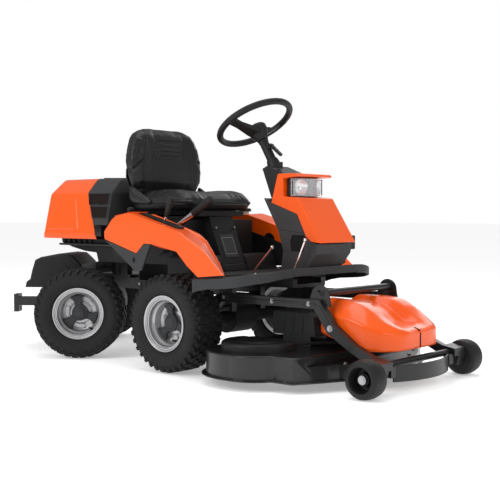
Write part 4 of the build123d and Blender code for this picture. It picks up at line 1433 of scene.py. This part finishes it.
LEVERS = (
    Lever("lift_lever", (-118, -277, 576), (118, -277, 712), 13.5,
          ((0.56, 15), (0.58, 17.4), (0.64, 16.5), (0.90, 17.0), (0.95, 18.0), (0.985, 17), (1.0, 13)),
          RUBBER, CHROME, 0.7),
    Lever("drive_lever", (-101, -362, 545), (-31, -362, 721), 5.0,
          ((0.53, 6.5), (0.56, 8.5), (0.70, 11.5), (0.86, 14.5), (0.95, 14.5), (0.985, 12), (1.0, 6)),
          RUBBER),
    Lever("throttle_lever", (-282, -362, 622), (-282, -362, 680), 5.0,
          ((0.50, 6), (0.62, 8), (0.72, 13.5), (0.85, 15), (0.95, 13), (1.0, 7)), BLACK, BLACK),
    Lever("forward_pedal", (272, -200, 413), (380, -200, 520), 4.5,
          ((0.93, 6), (0.95, 8), (0.985, 8), (1.0, 5)), CHROME),
    Lever("reverse_pedal", (452, -150, 434), (505, -150, 553), 4.5,
          ((0.90, 6), (0.93, 8), (0.985, 8), (1.0, 5)), CHROME),
)


# ---------------------------------------------------------------- mowing deck and its frame
@dataclass
class Deck:
    """Pressed deck shell, disc covers, guards, blades and the orange belt cover."""
    spindles: tuple[tuple[float, float], ...] = ((415.0, -325.0), (415.0, 325.0), (630.0, 0.0))
    top: float = 130.0
    cover_rows: tuple[tuple[float, ...], ...] = (
        (558, 120, 206, 250, 92, 292, 66, 294, 50, 280), (592, 164, 190, 266, 130, 322, 86, 323, 66, 306),
        (690, 218, 180, 266, 152, 322, 92, 321, 68, 301), (764, 224, 168, 260, 154, 314, 92, 312, 64, 276),
        (812, 224, 150, 246, 152, 290, 92, 286, 58, 240), (838, 220, 146, 236, 150, 268, 92, 262, 58, 229),
        (888, 192, 145, 216, 140, 238, 94, 234, 58, 225), (922, 146, 145, 208, 110, 222, 78, 220, 48, 217),
        (936, 96, 146, 196, 80, 208, 58, 208, 36, 206))

    def shell(self) -> None:
        """The deck's pressed steel shell, with rounded shoulders and a rolled flange."""
        form = Form.copy_of("deck_shell")
        high = (self.top - 1) * MM
        form.bevel(13.0, 5, 40, lambda e: all(v.co.z > high for v in e.verts)
                   and any(f.normal.z > 0.9 for f in e.link_faces)
                   and any(abs(f.normal.z) < 0.3 and f.calc_area() > 1e-4 for f in e.link_faces))
        form.bevel(2.2, 2, 50, lambda e: all(v.co.z < 0.0415 for v in e.verts))
        form.finish("deck_shell_pressing", DECK_PAINT, "deck", ("deck_shell",), 32)

    def discs(self) -> None:
        """Round pulley covers with a stepped top, trimmed beside the belt guard."""
        form = Form()
        for x, y in self.spindles[:2]:
            disc = [(0, 149), (20, 149), (28, 146), (33, 139), (33, 120), (31, 117), (31, 92), (34, 89),
                    (37, 84), (37.5, 60), (35, 40), (35, 0)]
            form.spun(disc, mm(x, y, self.top), Vector((0, 0, 1)), 72, closed=False)
        for sign in (-1, 1):
            near = [v for v in form.mesh.verts if v.co.y * sign > 0]
            geometry = near + list({e for v in near for e in v.link_edges}) \
                + list({f for v in near for f in v.link_faces})
            cut = bmesh.ops.bisect_plane(form.mesh, geom=geometry, plane_co=mm(0, sign * 270, 0),
                                         plane_no=Vector((0, -sign, 0)), clear_outer=True)["geom_cut"]
            rim = [g for g in cut if isinstance(g, bmesh.types.BMEdge)]
            bmesh.ops.holes_fill(form.mesh, edges=rim, sides=0)
        form.outward()
        form.finish("pulley_cover_discs", BLACK, "deck", ("pulley_covers",), 38)

    def guard(self) -> None:
        """Grey guard with sloping ribs on its sides."""
        form = Form.copy_of("belt_guard")
        form.bevel(7.0, 4, 40, lambda e: any(f.normal.z > 0.9 for f in e.link_faces))
        form.finish("belt_guard_shell", GREY, "deck", ("belt_guard",), 32)
        ribs = Form()
        for side in Side:
            y = side.value * 150.0
            for x in (392, 440, 486):
                ribs.slab(side_view([(x, 178), (x + 5, 178), (x + 13, 246), (x + 8, 246)], y - side.value),
                          mm(0, side.value * 4.0, 0))
        ribs.outward().bevel(1.0, 2, 40)
        ribs.finish("belt_guard_ribs", GREY, "deck", smooth=50)

    def blades(self) -> None:
        """Blades with sharpened ends and raised sails, spindles and grooved pulleys."""
        for word, (x, y) in zip(("right", "left", "front"), self.spindles):
            form = Form()
            centre, up = mm(x, y, 0), Vector((0, 0, 1))
            for sign in (-1, 1):
                rows = []
                for reach, half, low, lift in ((0, 28, 58, 0), (60, 28, 58, 0), (110, 27, 58, 1),
                                               (150, 26, 58, 5),
                                               (184, 24, 58, 12)):
                    at = x + sign * reach
                    lead, trail = y - sign * half, y + sign * half
                    rows.append([mm(at, lead, low + 1.2), mm(at, lead + sign * 10, low + 5),
                                 mm(at, trail, low + 5 + lift), mm(at, trail, low + lift),
                                 mm(at, lead + sign * 8, low)])
                form.loft(rows)
            form.spun([(52, 0), (52, 12), (96, 12), (96, 12.5), (144, 13), (144, 58), (146, 60), (151, 47),
                       (156, 60), (158, 58), (158, 14), (163, 12), (163, 0)], centre, up, 40, closed=False)
            form.outward()
            form.finish(f"blade_{word}_ground", STEEL, f"blade_{word}", (f"blade_{word}",), 30,
                        turn=False)

    def belt_cover(self) -> None:
        """Two-humped cover: rows across the machine, bridged front to back, then given a wall."""
        form = Form()
        rows = []
        for x, half, low, side_z, crest_y, crest_z, fall_y, fall_z, valley_y, valley_z in self.cover_rows:
            row = [mm(x, -half, low), mm(x, -half * 0.985, side_z),
                   mm(x, -(half + crest_y) / 2, side_z * 0.38 + crest_z * 0.62), mm(x, -crest_y, crest_z),
                   mm(x, -(crest_y + fall_y) / 2, (crest_z + fall_z) / 2 + 1), mm(x, -fall_y, fall_z),
                   mm(x, -valley_y, valley_z)]
            rows.append(row + [Vector((p.x, -p.y, p.z)) for p in reversed(row)])
        form.loft(rows, caps=False, ring=False)
        for row in (rows[0], rows[-1]):
            form.mesh.faces.new([form.mesh.verts.new(p) for p in row])
        form.outward()
        crease = form.mesh.edges.layers.float.new("crease_edge")
        for edge in form.mesh.edges:
            if len(edge.link_faces) == 2:
                edge[crease] = min(0.72, max(0.0, edge.calc_face_angle(0.0) - 0.16) * 1.5)
        cover = form.finish("belt_cover_shell", ORANGE, "equipment_frame", ("belt_cover",), 30, levels=3,
                            turn=False)
        wall = cover.modifiers.new("wall", "SOLIDIFY")
        wall.thickness = 3.0 * MM
        wall.offset = -1.0
        # Near-black blocks in the cover's slot: painted shade of the slot's depth.
        slot_line = Form()
        slot_line.block(mm(933, 0, 176), mm(7, 8, 56))
        slot_line.block(mm(921, 0, 214), mm(26, 8, 8), Matrix.Rotation(math.radians(22), 4, "Y"))
        slot_line.finish("belt_cover_slot_shade", RECESS_SHADE_AND_SEAM, "equipment_frame")

    def bolts(self) -> None:
        """Shell bolts and the flange's nuts."""
        form = Form()
        for x, y, z in ((300, -470, 41), (470, -520, 41), (640, -440, 41), (300, 470, 41), (470, 520, 41),
                        (640, 440, 41), (760, -240, 95), (760, 240, 95), (820, -110, 95), (820, 110, 95)):
            form.rod(mm(x, y, z - 1), mm(x, y, z + 6), 7 * MM, 6 * MM, 6)
            form.rod(mm(x, y, z - 1), mm(x, y, z + 1.5), 9.5 * MM, sides=20)
        form.finish("deck_bolts", STEEL, "deck")

    def build(self) -> None:
        """Make every piece of the deck."""
        self.shell()
        self.discs()
        self.guard()
        self.blades()
        self.belt_cover()
        self.bolts()


@dataclass
class EquipmentFrame:
    """Fasteners, gussets and handles on the arms that carry the deck."""
    arm_y: float = 255.0

    def build(self) -> None:
        """Make the arms' bolts, pressed ribs, pivots and grips."""
        bolts = Form()
        for side in Side:
            y = side.value * self.arm_y
            out = mm(0, side.value * 6, 0)
            for x, z, r in ((700, 222, 9), (160, 309, 7), (420, 309, 6), (600, 309, 6), (915, 108, 6),
                            (60, 250, 10)):
                bolts.rod(mm(x, y, z) - out * 0.2, mm(x, y, z) + out * 0.35, (r + 3.5) * MM, sides=24)
                bolts.rod(mm(x, y, z), mm(x, y, z) + out, r * MM, r * 0.85 * MM, 6)
        bolts.bevel(0.6, 1, 50)
        bolts.finish("arm_bolts", STEEL, "equipment_frame")
        ribs = Form()
        for side in Side:
            y = side.value * (self.arm_y - 0.5)
            for outline in ([(170, 314), (630, 314), (636, 306), (170, 306)],
                            [(654, 306), (700, 244), (694, 238), (646, 300)],
                            [(722, 224), (806, 164), (802, 157), (716, 217)]):
                ribs.slab(side_view(outline, y), mm(0, side.value * 3, 0))
        ribs.outward().bevel(1.4, 2, 40)
        ribs.finish("arm_ribs", FRAME_PAINT, "equipment_frame", smooth=50)
        caps = Form()
        for side in Side:
            caps.spun([(0, 0), (0, 15), (4, 16), (10, 15), (12, 12), (12, 0)],
                      mm(652, side.value * 226, 352),
                      Vector((0, side.value, 0)), 32, closed=False)
        caps.finish("cross_tube_caps", RUBBER, "equipment_frame")


@dataclass
class SupportWheel:
    """Crowned solid support wheel with a deep recess and a plated hub nut."""
    side: Side
    half: float = 39.7

    def build(self) -> None:
        """Make the wheel and its nut."""
        centre, out = mm(928, self.side.value * 354, 71.6), Vector((0, self.side.value, 0))
        crown = [(a, 64 + 7.4 * math.cos(a / self.half * 1.35)) for a in range(-32, 33, 8)]
        form = Form()
        form.spun([(-39.5, 10.2), (-39.5, 50), (-38, 57)] + crown
                  + [(38, 57), (39.5, 52), (39.5, 48), (36, 46.5), (30, 45), (-8, 40), (-10, 37), (-10, 26),
                     (-8, 24), (12, 22), (14, 20), (14, 10.2)], centre, out, 72)
        form.bevel(1.0, 2, 45)
        form.finish(f"support_wheel_{self.side.word}_moulded", RUBBER, f"support_wheel_{self.side.word}",
                    (f"support_wheel_{self.side.word}",), 34)
        nut = Form()
        nut.rod(centre + out * 25 * MM, centre + out * 27 * MM, 12 * MM, sides=6)
        nut.rod(centre + out * 14 * MM, centre + out * 16 * MM, 14 * MM, sides=24)
        nut.finish(f"hub_nut_{self.side.word}", STEEL, "equipment_frame")


# ---------------------------------------------------------------- floor plate, tower and underbody details
@dataclass
class Floor:
    """Footplate with its rolled edge, mat ribs, fixings and the blank label plate on the tower."""
    half: float = 445.0

    def plate(self) -> None:
        """Footplate: rows from back to front, with a lip that follows its rounded front corners."""
        tops = ((-20, 396), (197, 396), (350, 408), (475, 427), (502, 440))
        lips = ((-20, 380), (166, 380), (167, 338), (219, 355), (373, 366), (473, 388), (502, 404))
        corner_x, corner, front = 300.0, 230.0, 498.0
        rows = []
        for x in (-20, 80, 166, 168, 197, 250, 300, 350, 390, 425, 452, 472, 486, 494, 498):
            half = 284.0 if x < 167 else self.half
            if x > corner_x:
                share = (x - corner_x) / (front - corner_x)
                half = self.half - corner * (1 - math.sqrt(max(0.0, 1 - share ** 2.6)))
            top, low = Seat.between(tops, x, 1), Seat.between(lips, x, 1)
            row = [mm(x, -half, low), mm(x, -half, top - 10), mm(x, 4 - half, top - 3),
                   mm(x, 12 - half, top)]
            row += [mm(x, -half * 0.5, top), mm(x, half * 0.5, top)]
            rows.append(row + [mm(x, half - 12, top), mm(x, half - 4, top - 3), mm(x, half, top - 10),
                               mm(x, half, low)])
        front_low = [Vector((p.x, p.y, 0.405)) for p in rows[-1]]
        rows.append([Vector((p.x + 0.001, p.y, (p.z + 0.405) / 2)) for p in rows[-1]])
        rows.append(front_low)
        form = Form()
        form.loft(rows, caps=False, ring=False)
        form.walled(4.0)
        form.finish("footplate_moulded", GREY, "chassis", ("footplate",), 36, turn=False)

    def ribs(self) -> None:
        """Rows of raised bars on the rubber mat."""
        form = Form()
        for side in Side:
            for number in range(11):
                x = 24 + number * 16
                form.block(mm(x, side.value * 198, 400.6), mm(7, 110, 2.4))
        form.bevel(0.8, 1, 40)
        form.finish("mat_ribs", RUBBER, "chassis", smooth=50)

    def label(self) -> None:
        """Blank framed plate on the tower's sloping face."""
        foot, head = Vector((-9.5, 0, 436)), Vector((-70, 0, 590))
        slope = (head - foot).normalized()
        normal = Vector((slope.z, 0, -slope.x))
        along = Vector((0, 1, 0))

        def plate(form: Form, half: float, low: float, high: float, lift: float, thick: float) -> None:
            """One plate on the slope.

            Args:
                form: the form it is added to.
                half: half its width.
                low: its lower end, up the slope from the foot.
                high: its upper end.
                lift: how far it stands off the slope.
                thick: its thickness.
            """
            ends = [(-half, low), (half, low), (half, high), (-half, high)]
            form.slab([(foot + slope * s + along * a + normal * lift) * MM for a, s in ends],
                      normal * thick * MM)
        back, frame_bars = Form(), Form()
        plate(back, 44, 26, 132, -0.5, 1.8)
        back.outward().bevel(1.0, 2, 40)
        back.finish("tower_plate", LABEL, "chassis", smooth=50)
        half_out, half_in, low, high = 36, 34, 40, 118
        plate(frame_bars, half_out, low, low + 2, 1.0, 1.2)
        plate(frame_bars, half_out, high - 2, high, 1.0, 1.2)
        for sign in (-1, 1):
            ends = [(sign * half_in, low), (sign * half_out, low), (sign * half_out, high),
                    (sign * half_in, high)]
            frame_bars.slab([(foot + slope * s + along * a + normal) * MM for a, s in ends],
                            normal * 1.2 * MM)
        frame_bars.finish("tower_plate_frame", STEEL, "chassis")

    def wall_cup(self) -> None:
        """Round grommet in the left fender's inner wall, coloured near-black as painted shade of its
        hollow, and tower screws.
        """
        form = Form()
        form.spun([(0, 0), (0, 27), (-2, 30), (-5, 31), (-6, 28), (-3, 24), (-2, 0)], mm(-55, 301.0, 532),
                  Vector((0, 1, 0)), 40, closed=False)
        # The rubber grommet takes the near-black recess finish, darker than the rubber: painted shade of
        # its hollow.
        form.finish("fender_grommet", RECESS_SHADE_AND_SEAM, "chassis", slot="rubber")
        screws = Form()
        for y in (-60, 60):
            screws.rod(mm(-66, y, 588), mm(-59, y, 591), 5 * MM, sides=16)
        for x, y in ((40, -250), (330, -250), (40, 250), (330, 250), (430, -170), (430, 170)):
            z = 401 if x < 200 else (411 if x < 400 else 422)
            screws.rod(mm(x, y, z - 3), mm(x, y, z + 3.5), 6 * MM, 4.5 * MM, 20)
        screws.finish("body_screws", STEEL, "chassis")

    def build(self) -> None:
        """Make every piece of the floor."""
        self.plate()
        self.ribs()
        self.label()
        self.wall_cup()


@dataclass
class Underbody:
    """What shows below the hood: engine cradle, wing liners, floor riser and fixings."""
    cradle: tuple[tuple[float, float], ...] = (
        (-968, 534), (-962, 512), (-880, 490), (-790, 474), (-704, 468), (-690, 425), (-520, 425),
        (-520, 534))
    liner: tuple[tuple[float, float], ...] = (
        (-352, 470), (-352, 600), (-300, 634), (-205, 640), (10, 578), (100, 520), (165, 420), (165, 400),
        (122, 400), (78, 452), (16, 486), (-70, 502), (-128, 502), (-190, 470))
    left_liner: tuple[tuple[float, float], ...] = (
        (-352, 425), (-352, 545), (-300, 574), (-205, 580), (10, 520), (100, 468), (165, 412), (-200, 409))

    def bodywork(self) -> None:
        """Cradle below the engine, liners inside both fenders and the riser to the footplate."""
        cradle = Form()
        cradle.slab(side_view(self.cradle, -205), mm(0, 410, 0))
        for number in range(6):
            x = -940 + number * 40
            cradle.slab(side_view([(x, 505), (x + 12, 503), (x + 12, 532), (x, 532)], -216), mm(0, 432, 0))
        cradle.outward().bevel(4.0, 2, 35)
        cradle.finish("engine_cradle", CAST, "chassis", smooth=40)
        liners = Form()
        for side in Side:
            outline = self.left_liner if side is Side.LEFT else self.liner
            liners.slab(side_view(outline, side.value * 295), mm(0, side.value * 5, 0))
        liners.outward().bevel(1.5, 2, 40)
        liners.finish("fender_liners", BLACK, "chassis", smooth=40)
        riser = Form()
        outline = [(-132, 392), (-24, 392), (4, 397), (4, 404), (-4, 440), (-20, 470), (-132, 470)]
        for y in (-286, 76):
            riser.slab(side_view(outline, y), mm(0, 210, 0))
        riser.slab(side_view([(-132, 392), (-24, 392), (4, 397), (4, 404), (-6, 431), (-132, 431)], -75.5),
                   mm(0, 151, 0))
        riser.outward().bevel(5.0, 3, 35)
        riser.finish("floor_riser", BLACK, "chassis", smooth=40)

    def build(self) -> None:
        """Make the bodywork, brackets and fixings."""
        self.bodywork()
        brackets = Form()
        for side in Side:
            y = side.value
            brackets.block(mm(-430, y * 140, 446), mm(12, 60, 60))
            brackets.block(mm(-250, y * 140, 395), mm(12, 60, 76))
            brackets.block(mm(-610, y * 150, 480), mm(60, 90, 36))
        brackets.block(mm(-420, 0, 389), mm(5, 380, 86))
        brackets.bevel(2.0, 2, 40)
        brackets.finish("body_brackets", FRAME_PAINT, "chassis", smooth=50)
        fixings = Form()
        for x, y, z in ((-430, -150, 430), (-250, -150, 395), (-610, -196, 480), (-500, -110, 325),
                        (-350, -110, 325), (-200, -110, 325), (-430, 150, 430), (-500, 110, 325),
                        (-350, 110, 325), (-200, 110, 325), (120, -110, 365), (240, -110, 365)):
            sign = 1 if y > 0 else -1
            fixings.rod(mm(x, y - sign, z), mm(x, y + sign * 7, z), 8 * MM, 7 * MM, 6)
        fixings.finish("frame_bolts", STEEL, "chassis")


# ---------------------------------------------------------------- stage
@dataclass
class Studio:
    """Camera, soft lights and the pale floor."""
    azimuth: float = -0.8554
    pitch: float = 0.0376
    lens: float = 67.33
    place: Point = (2.7538, -3.0717, 0.6469)
    ambient: float = 0.70
    glossy: float = 0.38
    backdrop: float = 1.0

    def camera(self) -> None:
        """The scene's camera."""
        data = bpy.data.cameras.new("camera")
        data.lens, data.sensor_width, data.clip_end = self.lens, 36.0, 200.0
        camera = bpy.data.objects.new("camera", data)
        bpy.context.scene.collection.objects.link(camera)
        back = Vector((math.cos(self.azimuth) * math.cos(self.pitch),
                       math.sin(self.azimuth) * math.cos(self.pitch), math.sin(self.pitch)))
        camera.location = self.place
        camera.rotation_euler = (-back).to_track_quat("-Z", "Y").to_euler()
        bpy.context.scene.camera = camera

    def light(self, name: str, where: Point, target: Point, size: float, watts: float) -> None:
        """One square area light aimed at a point.

        Args:
            name: the light's name.
            where: its place in metres.
            target: the point it faces.
            size: its side in metres.
            watts: its power.
        """
        data = bpy.data.lights.new(name, "AREA")
        data.shape, data.size, data.energy = "SQUARE", size, watts
        lamp = bpy.data.objects.new(name, data)
        bpy.context.scene.collection.objects.link(lamp)
        lamp.location = where
        lamp.rotation_euler = (Vector(target) - Vector(where)).to_track_quat("-Z", "Y").to_euler()

    def floor(self) -> None:
        """Flat pale floor under the machine."""
        form = Form()
        bmesh.ops.create_grid(form.mesh, x_segments=2, y_segments=2, size=60.0)
        shader = Shader("studio_floor")
        shader.put("Base Color", shader.blend(shader.noise(0.4), (0.93, 0.93, 0.93), (0.91, 0.91, 0.91)))
        shader.put("Roughness", 0.9)
        shader.put("Emission Color", (1.0, 1.0, 1.0, 1.0))
        shader.put("Emission Strength", 0.32)
        data = bpy.data.meshes.new("floor")
        form.mesh.to_mesh(data)
        form.mesh.free()
        piece = bpy.data.objects.new("floor", data)
        bpy.context.scene.collection.objects.link(piece)
        data.materials.append(shader.material)

    def build(self) -> None:
        """Make the lights, the floor and the sky."""
        self.light("key", (-1.2, -4.4, 3.0), (-0.2, 0.0, 0.5), 2.4, 92.0)
        self.light("top", (-0.3, 0.2, 4.6), (-0.2, 0.0, 0.3), 3.0, 72.0)
        self.light("front", (4.4, -0.6, 2.0), (0.2, 0.0, 0.4), 2.0, 30.0)
        self.light("back", (-1.0, 4.6, 2.8), (0.0, 0.0, 0.5), 2.6, 48.0)
        self.floor()
        world = bpy.data.worlds.new("sky")
        world.use_nodes = True
        tree = world.node_tree
        sky = tree.nodes["Background"]
        sky.inputs["Color"].default_value = (1.0, 1.0, 1.0, 1.0)
        path = tree.nodes.new("ShaderNodeLightPath")
        strength = self.ambient
        for ray, change in (("Is Glossy Ray", self.glossy - self.ambient),
                            ("Is Camera Ray", self.backdrop - self.ambient)):
            node = tree.nodes.new("ShaderNodeMath")
            node.operation = "MULTIPLY_ADD"
            tree.links.new(path.outputs[ray], node.inputs[0])
            node.inputs[1].default_value = change
            if isinstance(strength, float):
                node.inputs[2].default_value = strength
            else:
                tree.links.new(strength, node.inputs[2])
            strength = node.outputs[0]
        tree.links.new(strength, sky.inputs["Strength"])
        bpy.context.scene.world = world
        bpy.context.scene.view_settings.view_transform = "Standard"


def main() -> None:
    """Build the machine piece by piece."""
    logging.basicConfig(level=logging.INFO, format="%(message)s")
    studio = Studio()
    studio.camera()
    for side in Side:
        DriveWheel("front", side, False).build()
        DriveWheel("rear", side, True).build()
        SupportWheel(side).build()
    hood = Hood()
    hood.shell()
    hood.side_panels()
    vents = VentCover()
    vents.cover(hood)
    vents.grilles(hood)
    vents.top_ribs()
    RearCover().build()
    for dress in DRESSED:
        dress.build()
    Fenders().build()
    Seat().build()
    steering = Steering()
    steering.wheel()
    steering.column()
    Console().build()
    for lever in LEVERS:
        lever.build()
    Deck().build()
    EquipmentFrame().build()
    Floor().build()
    Underbody().build()
    studio.build()


if __name__ == "__main__":
    main()
